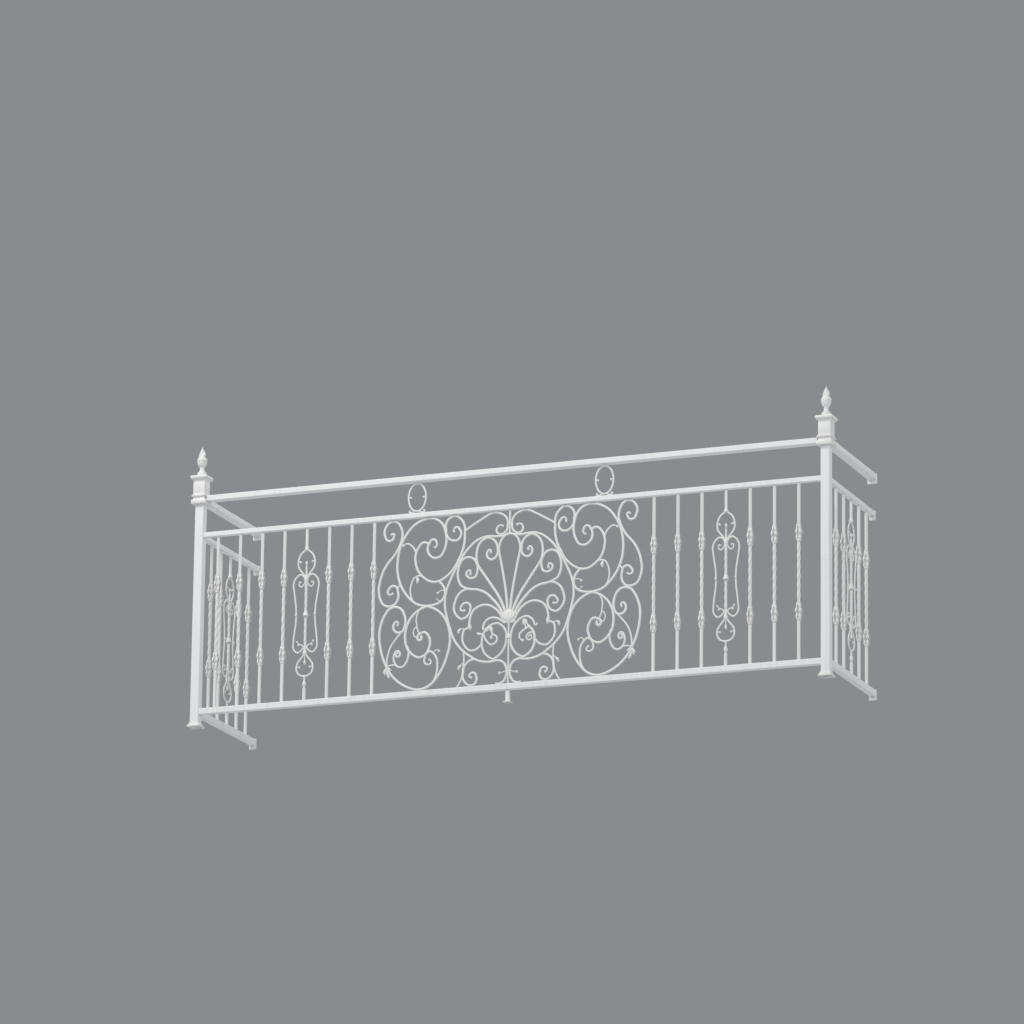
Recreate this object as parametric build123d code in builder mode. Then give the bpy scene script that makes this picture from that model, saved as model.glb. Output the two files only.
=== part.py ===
from build123d import *
import os

# White aluminium balcony railing: a front run between two corner posts and two short returns to
# the wall. Millimetres. X runs along the front to the right, Y goes in towards the wall, and Z=0
# is the balcony slab. The origin is under the middle of the right corner post.

# Overall layout.
post_spacing = 2925.0        # centre to centre of the corner posts
return_depth = 620.0         # from the post centres to the wall
handrail_top = 1050.0        # height of the handrail above the slab
rail_gap = 142.0             # clear gap between handrail and mid-rail
bottom_gap = 56.0            # clear gap between the slab and the bottom rail

# Posts and their castings.
post_size = 40.0
shoe_size = 60.0
shoe_height = 21.0
shoe_lip = 8.0               # straight part of the shoe below its slope
casting_wall = 3.0           # least wall left where a casting slopes in to the post
collar_size = 70.0
collar_height = 37.0
groove_height = 14.0
groove_depth = 3.0
groove_drop = 3.0            # from the collar's top to the groove
pedestal_size = 57.0
pedestal_height = 79.0
plinth_size = 66.0
plinth_height = 10.0
capital_size = 79.0
capital_height = 17.0
cove_height = 21.0           # slope under the capital plate
finial_height = 133.0
finial_foot_radius = 20.5
finial_neck_radius = 11.5
finial_cup_radius = 23.5     # widest part of the cup
finial_flame_radius = 17.0   # foot of the flame, on the cup

# Rails.
handrail_depth = 40.0
handrail_height = 25.0
midrail_depth = 25.0
midrail_height = 22.0
bottom_rail_depth = 30.0
bottom_rail_height = 27.0
edge_radius = 3.0            # rounded long edges of the rails

# Balusters.
baluster_size = 12.0
left_count = 8               # front balusters left of the scroll panel
right_count = 7              # and right of it
left_post_gap = 89.0         # from the left post's middle to the first baluster
left_panel_gap = 27.0        # from the scroll panel to the last baluster on the left
right_post_gap = 124.0       # the same two distances on the right
right_panel_gap = 56.0
ornate_place = 4             # the ornamental baluster, counted from the scroll panel
return_count = 5             # balusters on each return
return_post_gap = 126.0      # from the post's middle to the first of them
return_wall_gap = 88.0       # from the last of them to the wall
return_ornate_place = 3
knuckle_radius = 17.0
knuckle_height = 84.0
lower_knuckle = 216.0        # middle of the lower knuckle above the bottom rail
upper_knuckle = 563.0        # middle of the upper knuckle above the bottom rail

# Scrollwork.
panel_offset = 13.5          # the scroll panel sits this far right of the middle
panel_half_width = 611.0     # from the panel's middle to its outermost scroll
side_bar = 8.0               # width of the bars of the side scrolls
fan_bar = 8.0                # width of the bars of the fan
scroll_depth = 10.0          # front-to-back depth of every scroll bar
drawn_height = 778.0         # the clear height at which the scrolls are drawn below
drawn_half_width = 611.0     # and the half width
stem_width = 10.0
stem_collar_width = 25.0
stem_collar_height = 25.0
hub_radius = 30.0
rosette_radius = 13.0

lyre_bar = 6.0               # width and depth of the lyre's bars
lyre_half_width = 61.0
upper_ring_middle = 623.0    # middle of the upper ring above the bottom rail
upper_ring_width = 78.0      # across the middle of its bar
upper_ring_height = 96.0
ornate_bar_end = -20.0       # the middle bar ends this far from the upper ring's middle
lower_ring_middle = 158.0
lower_ring_width = 76.0
lower_ring_height = 84.0

# Rings between handrail and mid-rail.
ring_from_panel = 438.0      # from the panel's middle to the ring's middle
ring_half_width = 41.0
ring_foot_rise = 8.0         # the ring stands this far above the mid-rail, on two feet
ring_bar = 7.0

# Fixings.
foot_width = 18.0
foot_plate_size = 34.0
foot_plate_height = 4.0
plate_thickness = 6.0
plate_margin = 2.0           # plate beyond the rail at its sides and top
plate_ear = 18.0             # plate below the rail, with the two screw holes
plate_hole = 5.5
plate_hole_spacing = 14.0

# Levels and places that follow from the sizes above.
handrail_low = handrail_top - handrail_height
midrail_top = handrail_low - rail_gap
midrail_low = midrail_top - midrail_height
bottom_rail_low = bottom_gap
bottom_rail_top = bottom_rail_low + bottom_rail_height
infill_height = midrail_low - bottom_rail_top
post_places = {"left": -post_spacing, "right": 0.0}
middle_x = -post_spacing / 2
panel_x = middle_x + panel_offset
rise = infill_height / drawn_height
spread = panel_half_width / drawn_half_width
collar_low = handrail_top - collar_height
capital_low = handrail_top + pedestal_height
capital_top = capital_low + capital_height


def spaced(first, last, count):
    """Evenly spaced places from the first to the last."""
    return [first + (last - first) * k / (count - 1) for k in range(count)]


# each front group is set out from the scroll panel towards its post
left_places = spaced(panel_x - panel_half_width - left_panel_gap, post_places["left"] + left_post_gap,
                     left_count)
right_places = spaced(panel_x + panel_half_width + right_panel_gap, post_places["right"] - right_post_gap,
                      right_count)
return_places = spaced(return_post_gap, return_depth - return_wall_gap, return_count)

os.makedirs("parts", exist_ok=True)


def save(part, name):
    """Label the finished piece and write its STEP file."""
    part.label = name
    export_step(part, "parts/" + name + ".step")


# Centre lines of the scrolls. Left half of the panel, as (distance from the panel's middle, height
# above the bottom rail).
# Three points make one arc, and the last of them is the first of the next arc.
outer_scroll = [
    (-556, 713), (-548, 717), (-545, 705), (-560, 686), (-584, 703), (-590, 732), (-578, 757),
    (-548, 774), (-517, 752), (-505, 718), (-507, 688), (-527, 640), (-560, 598), (-593, 549),
    (-609, 497), (-611, 447), (-596, 407), (-566, 390), (-537, 396), (-521, 422), (-523, 457),
    (-545, 481), (-565, 466), (-562, 443), (-547, 447),
]
upper_scroll = [
    (-351, 639), (-342, 646), (-343, 659), (-357, 675), (-375, 662), (-384, 627), (-368, 599),
    (-340, 590), (-313, 609), (-297, 657), (-303, 709), (-335, 759), (-385, 774), (-440, 753),
    (-483, 711), (-512, 657), (-525, 597), (-525, 542), (-512, 489), (-480, 433), (-435, 391),
    (-385, 376), (-340, 381), (-310, 399), (-299, 427), (-308, 459), (-335, 485),
]
linking_scroll = [
    (-380, 655), (-399, 665), (-420, 655), (-440, 617), (-440, 577), (-424, 532), (-392, 500),
    (-350, 483), (-305, 496), (-264, 531), (-239, 573), (-215, 632), (-211, 692), (-221, 745),
    (-252, 774), (-290, 757), (-298, 712), (-281, 669), (-250, 661), (-229, 682), (-237, 712),
    (-256, 720), (-262, 703),
]
lower_scroll = [
    (-521, 303), (-520, 315), (-531, 318), (-541, 300), (-534, 278), (-512, 268), (-492, 280),
    (-484, 312), (-492, 352), (-530, 387), (-575, 363), (-601, 307), (-606, 252), (-596, 187),
    (-573, 125), (-522, 53), (-455, 13), (-402, 6), (-352, 31), (-310, 89), (-285, 152),
    (-273, 217), (-288, 295), (-325, 347), (-385, 376), (-430, 357), (-463, 325), (-481, 282),
    (-484, 237), (-466, 183), (-425, 151), (-393, 157), (-372, 187), (-367, 222), (-380, 252),
    (-396, 261), (-413, 255), (-424, 239), (-414, 226), (-406, 231), (-409, 239),
]
side_small_scrolls = [
    # crescent under the linking scroll, and its tip
    [(-402, 510), (-428, 516), (-447, 508), (-463, 465), (-452, 408)],
    [(-438, 514), (-430, 501), (-436, 484)],
    # hooked scroll low down, beside the big one
    [(-368, 136), (-361, 129), (-368, 116), (-387, 120), (-391, 142), (-384, 163), (-363, 174),
     (-341, 153), (-331, 112), (-333, 77), (-350, 36)],
    # bar from the big scroll's volute down to its left side
    [(-492, 278), (-520, 250), (-548, 215), (-566, 165), (-569, 122)],
    # curl in the lower left corner, and its link
    [(-474, 204), (-467, 165), (-480, 129), (-503, 113), (-524, 129), (-535, 155), (-528, 173),
     (-514, 179), (-510, 165)],
    [(-570, 117), (-546, 126), (-516, 117)],
    # inner bar of the big scroll, and its leaf
    [(-414, 367), (-431, 337), (-431, 302), (-427, 277), (-416, 255)],
    [(-433, 289), (-446, 265), (-440, 245), (-430, 242), (-419, 249)],
    # short links and tips
    [(-504, 660), (-484, 665), (-466, 661), (-456, 650), (-440, 620)],
    [(-526, 466), (-518, 476), (-512, 489)],
    [(-301, 438), (-318, 442), (-335, 431)],
    [(-312, 400), (-326, 394), (-336, 403)],
    [(-347, 163), (-333, 178), (-324, 171)],
    [(-568, 118), (-574, 106), (-583, 98)],
    [(-572, 122), (-566, 92), (-554, 68)],
]
arch_scroll = [
    (0, 674), (-42, 663), (-85, 666), (-127, 663), (-165, 645), (-203, 609), (-232, 567),
    (-260, 517), (-284, 465), (-299, 407), (-296, 347), (-283, 297), (-262, 232), (-228, 179),
    (-180, 138), (-128, 110), (-66, 107), (-38, 106), (-16, 90), (-7, 58), (-14, 25), (-30, 6),
    (-52, 6),
]
fan_scrolls = [
    # pointed arch in the middle
    [(-4, 302), (-13, 397), (-25, 472), (-35, 526), (-46, 577), (-49, 612), (-41, 642),
     (-25, 662), (0, 673)],
    # frond with the tall volute
    [(-8, 312), (-37, 372), (-67, 427), (-103, 476), (-136, 523), (-152, 557), (-153, 602),
     (-139, 639), (-105, 661), (-67, 641), (-56, 603), (-63, 572), (-83, 561), (-104, 577),
     (-101, 602), (-93, 606), (-88, 596)],
    # frond with the side volute
    [(-10, 315), (-50, 369), (-100, 413), (-140, 431), (-185, 439), (-226, 457), (-241, 502),
     (-230, 557), (-195, 581), (-160, 562), (-148, 524), (-156, 493), (-176, 485), (-198, 497),
     (-194, 519), (-183, 521), (-181, 509)],
    # volute below it
    [(-186, 439), (-228, 425), (-252, 385), (-250, 332), (-222, 306), (-193, 317), (-180, 347),
     (-200, 377), (-222, 363), (-222, 344), (-208, 343)],
    # low frond with a leaf end
    [(-8, 290), (-35, 310), (-62, 335), (-115, 358), (-168, 338), (-180, 310), (-180, 262)],
    # hook between the round volute and the leaf
    [(-125, 189), (-148, 166), (-178, 161), (-205, 185), (-214, 235), (-205, 262), (-178, 264)],
    # small scroll on the bottom rail
    [(-160, 121), (-197, 104), (-209, 67), (-203, 25), (-176, 4), (-153, 15), (-149, 45),
     (-160, 62), (-175, 59), (-181, 48), (-172, 41)],
    # forked foot beside it
    [(-210, 160), (-207, 117), (-212, 77), (-217, 42), (-238, 4)],
    [(-209, 107), (-223, 98), (-234, 80)],
    # tip inside the middle scroll
    [(-8, 62), (-28, 55), (-46, 50)],
]
# The round volutes beside the stem differ: the left one is closed, with a crest over it, and the
# right one opens into a leaf, so that its crest starts at the stem.
volute_scrolls = {
    -1: [
        [(-20, 280), (-60, 296), (-82, 299), (-110, 284), (-118, 250)],
        [(-12, 214), (-27, 251), (-62, 273), (-106, 253), (-126, 202), (-112, 143), (-68, 113),
         (-30, 143), (-14, 194)],
        [(-114, 232), (-108, 205), (-86, 177), (-66, 181), (-55, 199), (-60, 213), (-74, 218),
         (-80, 232), (-84, 251)],
    ],
    1: [
        [(-7, 215), (-14, 252), (-33, 280), (-57, 292), (-84, 294), (-108, 281), (-119, 260),
         (-124, 253), (-131, 257)],
        [(-8, 190), (-30, 142), (-68, 115), (-110, 141), (-126, 196), (-117, 226), (-98, 246),
         (-83, 262), (-70, 279)],
        [(-96, 247), (-78, 239), (-60, 226), (-51, 207), (-66, 187)],
        [(-122, 214), (-110, 209), (-104, 199), (-95, 189), (-86, 196), (-85, 204), (-90, 211)],
    ],
}
crown_scroll = [
    (-209, 701), (-165, 728), (-110, 760), (-72, 774), (-38, 764), (-14, 739), (-11, 709),
    (-19, 681), (-42, 671), (-60, 682), (-60, 700), (-50, 709), (-40, 706),
]
# One side of the ornamental baluster, as (distance from its axis, height above the bottom rail).
lyre_scrolls = [
    [(4, 541), (20, 565), (43, 560), (61, 528), (59, 480), (48, 425), (44, 385), (49, 320),
     (55, 265), (50, 228), (33, 216), (18, 226), (4, 246)],
    [(4, 536), (12, 515), (24, 507), (38, 515), (36, 530), (28, 534), (24, 524)],
    [(50, 234), (39, 261), (28, 254)],
]
drawn_lyre = 61.0            # half width at which the lyre is drawn


def scroll_bars(scrolls, width, middle, side, stretch=1.0):
    """Sketch of the bars of these scrolls: side is -1 for the left half and 1 for the right."""
    with BuildSketch() as bars:
        for points in scrolls:
            line = [(middle - side * x * stretch, bottom_rail_top + z * rise) for x, z in points]
            with BuildLine():
                for a, b, c in zip(line[0:-2:2], line[1:-1:2], line[2::2]):
                    ThreePointArc(a, b, c)
                offset(amount=width / 2, side=Side.BOTH)
            make_face()
    return bars.sketch


# Corner posts, with shoe, collar, pedestal and finial.
for side, x in post_places.items():
    with BuildPart() as post:
        with BuildSketch(Plane.XY):
            with Locations((x, 0)):
                Rectangle(post_size, post_size)
        extrude(amount=handrail_top)
    save(post.part, side + "_post")

    with BuildPart() as shoe:
        with BuildSketch(Plane.XY):
            with Locations((x, 0)):
                Rectangle(shoe_size, shoe_size)
        extrude(amount=shoe_lip)
        with BuildSketch(Plane.XY.offset(shoe_lip)):
            with Locations((x, 0)):
                Rectangle(shoe_size, shoe_size)
        with BuildSketch(Plane.XY.offset(shoe_height)):
            with Locations((x, 0)):
                Rectangle(post_size + 2 * casting_wall, post_size + 2 * casting_wall)
        loft()
        with BuildSketch(Plane.XY):
            with Locations((x, 0)):
                Rectangle(post_size, post_size)
        extrude(amount=shoe_height, mode=Mode.SUBTRACT)
    save(shoe.part, side + "_post_shoe")

    with BuildPart() as collar:
        with BuildSketch(Plane.XY.offset(collar_low)):
            with Locations((x, 0)):
                Rectangle(collar_size, collar_size)
                Rectangle(post_size, post_size, mode=Mode.SUBTRACT)
        extrude(amount=collar_height)
        with BuildSketch(Plane.XY.offset(handrail_top - groove_drop)):
            with Locations((x, 0)):
                Rectangle(collar_size, collar_size)
                inner = collar_size - 2 * groove_depth
                Rectangle(inner, inner, mode=Mode.SUBTRACT)
        extrude(amount=-groove_height, mode=Mode.SUBTRACT)
    save(collar.part, side + "_post_collar")

    with BuildPart() as pedestal:
        with BuildSketch(Plane.XY.offset(handrail_top)):
            with Locations((x, 0)):
                Rectangle(plinth_size, plinth_size)
        with BuildSketch(Plane.XY.offset(handrail_top + plinth_height)):
            with Locations((x, 0)):
                Rectangle(pedestal_size, pedestal_size)
        loft()
        with BuildSketch(Plane.XY.offset(handrail_top + plinth_height)):
            with Locations((x, 0)):
                Rectangle(pedestal_size, pedestal_size)
        extrude(amount=pedestal_height - plinth_height - cove_height)
        with BuildSketch(Plane.XY.offset(capital_low - cove_height)):
            with Locations((x, 0)):
                Rectangle(pedestal_size, pedestal_size)
        with BuildSketch(Plane.XY.offset(capital_low)):
            with Locations((x, 0)):
                Rectangle(capital_size, capital_size)
        loft()
        with BuildSketch(Plane.XY.offset(capital_low)):
            with Locations((x, 0)):
                Rectangle(capital_size, capital_size)
        extrude(amount=capital_height)
    save(pedestal.part, side + "_post_capital")

    with BuildPart() as finial:
        with BuildSketch(Plane.XZ):
            with BuildLine():
                z = capital_top
                foot = finial_foot_radius
                neck = finial_neck_radius
                cup = finial_cup_radius
                flame = finial_flame_radius
                Polyline((x, z + finial_height), (x, z), (x + foot, z), (x + foot, z + 3))
                ThreePointArc((x + foot, z + 3), (x + neck + 2.5, z + 13), (x + neck, z + 28))
                Line((x + neck, z + 28), (x + neck, z + 31))
                ThreePointArc((x + neck, z + 31), (x + cup, z + 66), (x + flame, z + 84))
                Polyline((x + flame, z + 84), (x + 1.5, z + finial_height), (x, z + finial_height))
            make_face()
        revolve(axis=Axis((x, 0, 0), (0, 0, 1)))
    save(finial.part, side + "_post_finial")


# Front rails, between the posts or their collars.
def rail(name, start, end, low, depth, height):
    """Straight rail with rounded long edges, from start to end in plan."""
    run = Vector(*end) - Vector(*start)
    middle = (start[0], start[1], low + height / 2)
    with BuildPart() as bar:
        with BuildSketch(Plane(origin=middle, x_dir=(0, 0, 1), z_dir=run)):
            RectangleRounded(height, depth, edge_radius)
        extrude(amount=run.length)
    save(bar.part, name)


left_x = post_places["left"]
right_x = post_places["right"]
rail("front_handrail", (left_x + collar_size / 2, 0), (right_x - collar_size / 2, 0),
     handrail_low, handrail_depth, handrail_height)
rail("front_midrail", (left_x + post_size / 2, 0), (right_x - post_size / 2, 0),
     midrail_low, midrail_depth, midrail_height)
rail("front_bottom_rail", (left_x + post_size / 2, 0), (right_x - post_size / 2, 0),
     bottom_rail_low, bottom_rail_depth, bottom_rail_height)

# Return rails, from the posts back to the wall plates.
plate_face = return_depth - plate_thickness
for side, x in post_places.items():
    rail(side + "_handrail", (x, collar_size / 2), (x, plate_face), handrail_low, handrail_depth,
         handrail_height)
    rail(side + "_midrail", (x, post_size / 2), (x, plate_face), midrail_low, midrail_depth,
         midrail_height)
    rail(side + "_bottom_rail", (x, post_size / 2), (x, plate_face), bottom_rail_low,
         bottom_rail_depth, bottom_rail_height)

    with BuildPart() as wall_plates:
        for depth, height, low in (
            (handrail_depth, handrail_height, handrail_low),
            (midrail_depth, midrail_height, midrail_low),
            (bottom_rail_depth, bottom_rail_height, bottom_rail_low),
        ):
            tall = plate_ear + height + plate_margin
            with BuildSketch(Plane.XZ.offset(-return_depth)):
                with Locations((x, low - plate_ear + tall / 2)):
                    Rectangle(depth + 2 * plate_margin, tall)
                with Locations((x, low - plate_ear / 2)):
                    with GridLocations(plate_hole_spacing, 0, 2, 1):
                        Circle(plate_hole / 2, mode=Mode.SUBTRACT)
            extrude(amount=plate_thickness)
    save(wall_plates.part, side + "_wall_plates")

# Centre foot under the bottom rail.
with BuildPart() as centre_foot:
    with BuildSketch(Plane.XY):
        with Locations((panel_x, 0)):
            Rectangle(foot_plate_size, foot_plate_size)
    extrude(amount=foot_plate_height)
    with BuildSketch(Plane.XY.offset(foot_plate_height)):
        with Locations((panel_x, 0)):
            Rectangle(foot_width, foot_width)
    extrude(amount=bottom_rail_low - foot_plate_height)
save(centre_foot.part, "centre_foot")


# Plain balusters: a square bar with two cast knuckles.
def plain_baluster(x, y):
    """Bar and knuckles of one plain baluster standing at x, y."""
    with BuildPart() as bar:
        with BuildSketch(Plane.XY.offset(bottom_rail_top)):
            with Locations((x, y)):
                Rectangle(baluster_size, baluster_size)
        extrude(amount=infill_height)
        for height in (lower_knuckle, upper_knuckle):
            middle = bottom_rail_top + height * rise
            half = knuckle_height / 2
            slim = baluster_size / 2 + 1
            wide = knuckle_radius
            with BuildSketch(Plane.XZ.offset(-y)):
                with BuildLine():
                    Polyline(
                        (x, middle - half),
                        (x + slim, middle - half),
                        (x + 0.75 * wide, middle - 0.72 * half),
                        (x + 0.75 * wide, middle - 0.35 * half),
                        (x + 0.6 * wide, middle - 0.2 * half),
                        (x + wide, middle),
                        (x + wide, middle + 0.2 * half),
                        (x + 0.65 * wide, middle + 0.42 * half),
                        (x + 0.65 * wide, middle + 0.6 * half),
                        (x + slim, middle + half),
                        (x, middle + half),
                        close=True,
                    )
                make_face()
            revolve(axis=Axis((x, y, 0), (0, 0, 1)))
    return bar.part


plain = {"left": [p for k, p in enumerate(left_places) if k != ornate_place - 1],
         "right": [p for k, p in enumerate(right_places) if k != ornate_place - 1]}
for side, places in plain.items():
    for number, x in enumerate(places, start=1):
        save(plain_baluster(x, 0), f"front_baluster_{side}_{number}")

for side, x in post_places.items():
    with BuildPart() as return_balusters:
        for k, y in enumerate(return_places):
            if k != return_ornate_place - 1:
                add(plain_baluster(x, y))
    save(return_balusters.part, side + "_return_balusters")


# Ornamental balusters: a bar with two rings and a lyre.
def ornate_baluster(name, plane, middle):
    """Flat ornamental baluster, drawn on the given upright plane."""
    with BuildPart() as ornate:
        with BuildSketch(plane.offset(-lyre_bar / 2)):
            for side in (-1, 1):
                add(scroll_bars(lyre_scrolls, lyre_bar, middle, side, lyre_half_width / drawn_lyre))
            for height, across, tall in (
                (upper_ring_middle, upper_ring_width, upper_ring_height),
                (lower_ring_middle, lower_ring_width, lower_ring_height),
            ):
                with Locations((middle, bottom_rail_top + height * rise)):
                    Ellipse((across + lyre_bar) / 2, (tall * rise + lyre_bar) / 2)
                    Ellipse((across - lyre_bar) / 2, (tall * rise - lyre_bar) / 2, mode=Mode.SUBTRACT)
        extrude(amount=lyre_bar)
        spans = (
            (0.0, lower_ring_middle - lower_ring_height / 2),
            (lower_ring_middle + lower_ring_height / 2, upper_ring_middle + ornate_bar_end),
            (upper_ring_middle + upper_ring_height / 2, drawn_height),
        )
        with BuildSketch(plane.offset(-baluster_size / 2)):
            for low, high in spans:
                with Locations((middle, bottom_rail_top + (low + high) / 2 * rise)):
                    Rectangle(baluster_size, (high - low) * rise)
        extrude(amount=baluster_size)
    save(ornate.part, name)


ornate_baluster("ornate_baluster_left", Plane.XZ, left_places[ornate_place - 1])
ornate_baluster("ornate_baluster_right", Plane.XZ, right_places[ornate_place - 1])
for side, x in post_places.items():
    upright = Plane(origin=(x, 0, 0), x_dir=(0, 1, 0), z_dir=(1, 0, 0))
    ornate_baluster(side + "_return_ornate_baluster", upright, return_places[return_ornate_place - 1])

# Rings between handrail and mid-rail.
for side, sign in (("left", -1), ("right", 1)):
    middle = panel_x + sign * ring_from_panel
    ring_low = midrail_top + ring_foot_rise
    ring_half_height = (handrail_low - ring_low) / 2
    with BuildPart() as ring:
        with BuildSketch(Plane.XZ.offset(-scroll_depth / 2)):
            with Locations((middle, ring_low + ring_half_height)):
                Ellipse(ring_half_width + ring_bar / 2, ring_half_height)
                Ellipse(ring_half_width - ring_bar / 2, ring_half_height - ring_bar, mode=Mode.SUBTRACT)
            for out in (-1, 1):
                with BuildLine():
                    Polyline(
                        (middle + out * 12, ring_low + ring_bar),
                        (middle + out * 24, midrail_top),
                        (middle + out * 33, midrail_top),
                        (middle + out * 24, ring_low + ring_bar + 2),
                        close=True,
                    )
                make_face()
            with Locations((middle - sign * (ring_half_width - ring_bar), ring_low + ring_half_height)):
                Circle(ring_bar * 0.8)
        extrude(amount=scroll_depth)
    save(ring.part, "handrail_ring_" + side)

# Scroll panel: two side groups and the fan in the middle.
side_scrolls = [outer_scroll, upper_scroll, linking_scroll, lower_scroll] + side_small_scrolls
scroll_plane = Plane.XZ.offset(-scroll_depth / 2)
opening_middle = bottom_rail_top + infill_height / 2
side_sketches = {}
for side, sign in (("left", -1), ("right", 1)):
    with BuildPart() as side_panel:
        with BuildSketch(scroll_plane) as side_bars:
            add(scroll_bars(side_scrolls, side_bar, panel_x, sign, spread))
            with Locations((middle_x, opening_middle)):
                Rectangle(post_spacing, infill_height, mode=Mode.INTERSECT)
        extrude(amount=scroll_depth)
    save(side_panel.part, "scrollwork_" + side)
    side_sketches[side] = side_bars.sketch_local

with BuildPart() as fan:
    with BuildSketch(scroll_plane):
        for side, volute in volute_scrolls.items():
            scrolls = fan_scrolls + [arch_scroll, crown_scroll] + volute
            add(scroll_bars(scrolls, fan_bar, panel_x, side, spread))
        with Locations((panel_x, bottom_rail_top + 136 * rise)):
            Rectangle(stem_width, 272 * rise)
        with Locations((panel_x, bottom_rail_top + 207 * rise)):
            Rectangle(stem_collar_width, stem_collar_height)
        with Locations((panel_x, bottom_rail_top + 298 * rise)):
            Circle(hub_radius)
        with Locations((panel_x, bottom_rail_top + 725 * rise)):
            Rectangle(stem_width, 106 * rise)
        with Locations((panel_x, bottom_rail_top + 712 * rise)):
            Circle(rosette_radius)
        with Locations((middle_x, opening_middle)):
            Rectangle(post_spacing, infill_height, mode=Mode.INTERSECT)
        for beside in side_sketches.values():
            add(beside, mode=Mode.SUBTRACT)
    extrude(amount=scroll_depth)
save(fan.part, "scrollwork_fan")
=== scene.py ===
"""White aluminium balcony railing with scrollwork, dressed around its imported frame.

Lengths are metres unless a name says otherwise: outlines drawn in millimetres are lists named
after what they draw, and MM turns them into metres.
"""

from __future__ import annotations

import logging
import math
from dataclasses import dataclass
from enum import Enum
from typing import Callable, Iterable, Sequence

import bmesh
import bpy
from bpy.types import Material, Mesh, Node, NodeTree
from mathutils import Matrix, Vector


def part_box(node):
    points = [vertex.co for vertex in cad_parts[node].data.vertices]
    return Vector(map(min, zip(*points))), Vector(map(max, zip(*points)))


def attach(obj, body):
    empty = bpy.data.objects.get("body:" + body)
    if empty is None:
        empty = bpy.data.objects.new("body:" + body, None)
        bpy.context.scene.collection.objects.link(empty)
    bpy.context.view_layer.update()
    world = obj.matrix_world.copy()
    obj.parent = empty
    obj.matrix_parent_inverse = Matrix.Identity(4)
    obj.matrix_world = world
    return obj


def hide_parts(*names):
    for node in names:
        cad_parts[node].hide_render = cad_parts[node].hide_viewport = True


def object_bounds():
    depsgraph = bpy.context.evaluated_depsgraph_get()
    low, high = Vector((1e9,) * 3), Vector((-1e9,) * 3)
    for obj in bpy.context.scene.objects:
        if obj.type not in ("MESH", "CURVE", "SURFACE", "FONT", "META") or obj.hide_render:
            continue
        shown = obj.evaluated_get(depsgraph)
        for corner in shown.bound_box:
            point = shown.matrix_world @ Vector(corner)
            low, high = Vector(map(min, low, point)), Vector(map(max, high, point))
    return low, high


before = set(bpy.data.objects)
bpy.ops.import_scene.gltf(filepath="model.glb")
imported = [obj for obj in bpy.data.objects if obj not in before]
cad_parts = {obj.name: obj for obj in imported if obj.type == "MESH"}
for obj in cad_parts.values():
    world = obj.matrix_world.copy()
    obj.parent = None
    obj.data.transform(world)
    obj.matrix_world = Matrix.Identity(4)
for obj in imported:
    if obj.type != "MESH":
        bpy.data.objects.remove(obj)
CAD_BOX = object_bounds()
LOG = logging.getLogger("railing")

MM = 0.001
ROOT = "root"
SHARP_DEG = 38.0             # edges sharper than this stay sharp
CASTING_SHARP_DEG = 27.0     # and on the square castings
ARC_STEP_DEG = 8.0           # longest step along the arc of a scroll
ARC_STEP_MM = 12.0
BEAD_TAPER_MM = 45.0         # a bar thins over this length towards a bead
LEAF_MM = 34.0               # length of a leaf at a bar's end
BAR_CORNER = 0.0013          # rounding of the square bars, in metres
FLOOR_HALF = 30.0            # half the side of the floor, in metres

Point2 = tuple[float, float]
Point3 = tuple[float, float, float]
Colour = tuple[float, float, float, float]
Line = tuple[Sequence[Point3], Sequence[float]]
Placed = tuple[Mesh, Matrix]


# Places read from the frame


def low(node: str) -> Vector:
    """Lowest corner of a CAD node."""
    return Vector(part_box(node)[0])


def high(node: str) -> Vector:
    """Highest corner of a CAD node."""
    return Vector(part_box(node)[1])


def middle(node: str) -> Vector:
    """Middle of a CAD node's box."""
    return (low(node) + high(node)) / 2


INFILL_LOW = high("front_bottom_rail").z
INFILL_HIGH = low("front_midrail").z
DRAWN_HEIGHT_MM = 778.0
RISE = (INFILL_HIGH - INFILL_LOW) / (DRAWN_HEIGHT_MM * MM)
PANEL_X = middle("scrollwork_fan").x


def level(drawn_mm: float) -> float:
    """Height of a level that is drawn in millimetres above the bottom rail."""
    return INFILL_LOW + drawn_mm * MM * RISE


def at(x: float, y: float, z: float) -> Matrix:
    """Matrix that moves a mesh to a place."""
    return Matrix.Translation((x, y, z))


# Outlines


class Tip(Enum):
    """How a bar of the scrollwork ends."""

    JOIN = "runs into another bar"
    BEAD = "ends in a bead"
    LEAF = "ends in a leaf"


@dataclass(frozen=True)
class Scroll:
    """One bar drawn as arcs in the panel's plane.

    The points are millimetres from the panel's middle line and above the bottom rail. Three
    points make an arc, and the last of them begins the next one. The left half is drawn. The bar
    is start_width wide where it starts, and settles to its width along the length of its swell.
    """

    points: tuple[Point2, ...]
    start: Tip = Tip.JOIN
    finish: Tip = Tip.JOIN
    width: float = 8.2
    start_width: float = 0.0
    swell: float = 150.0
    bead: float = 5.4


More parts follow.
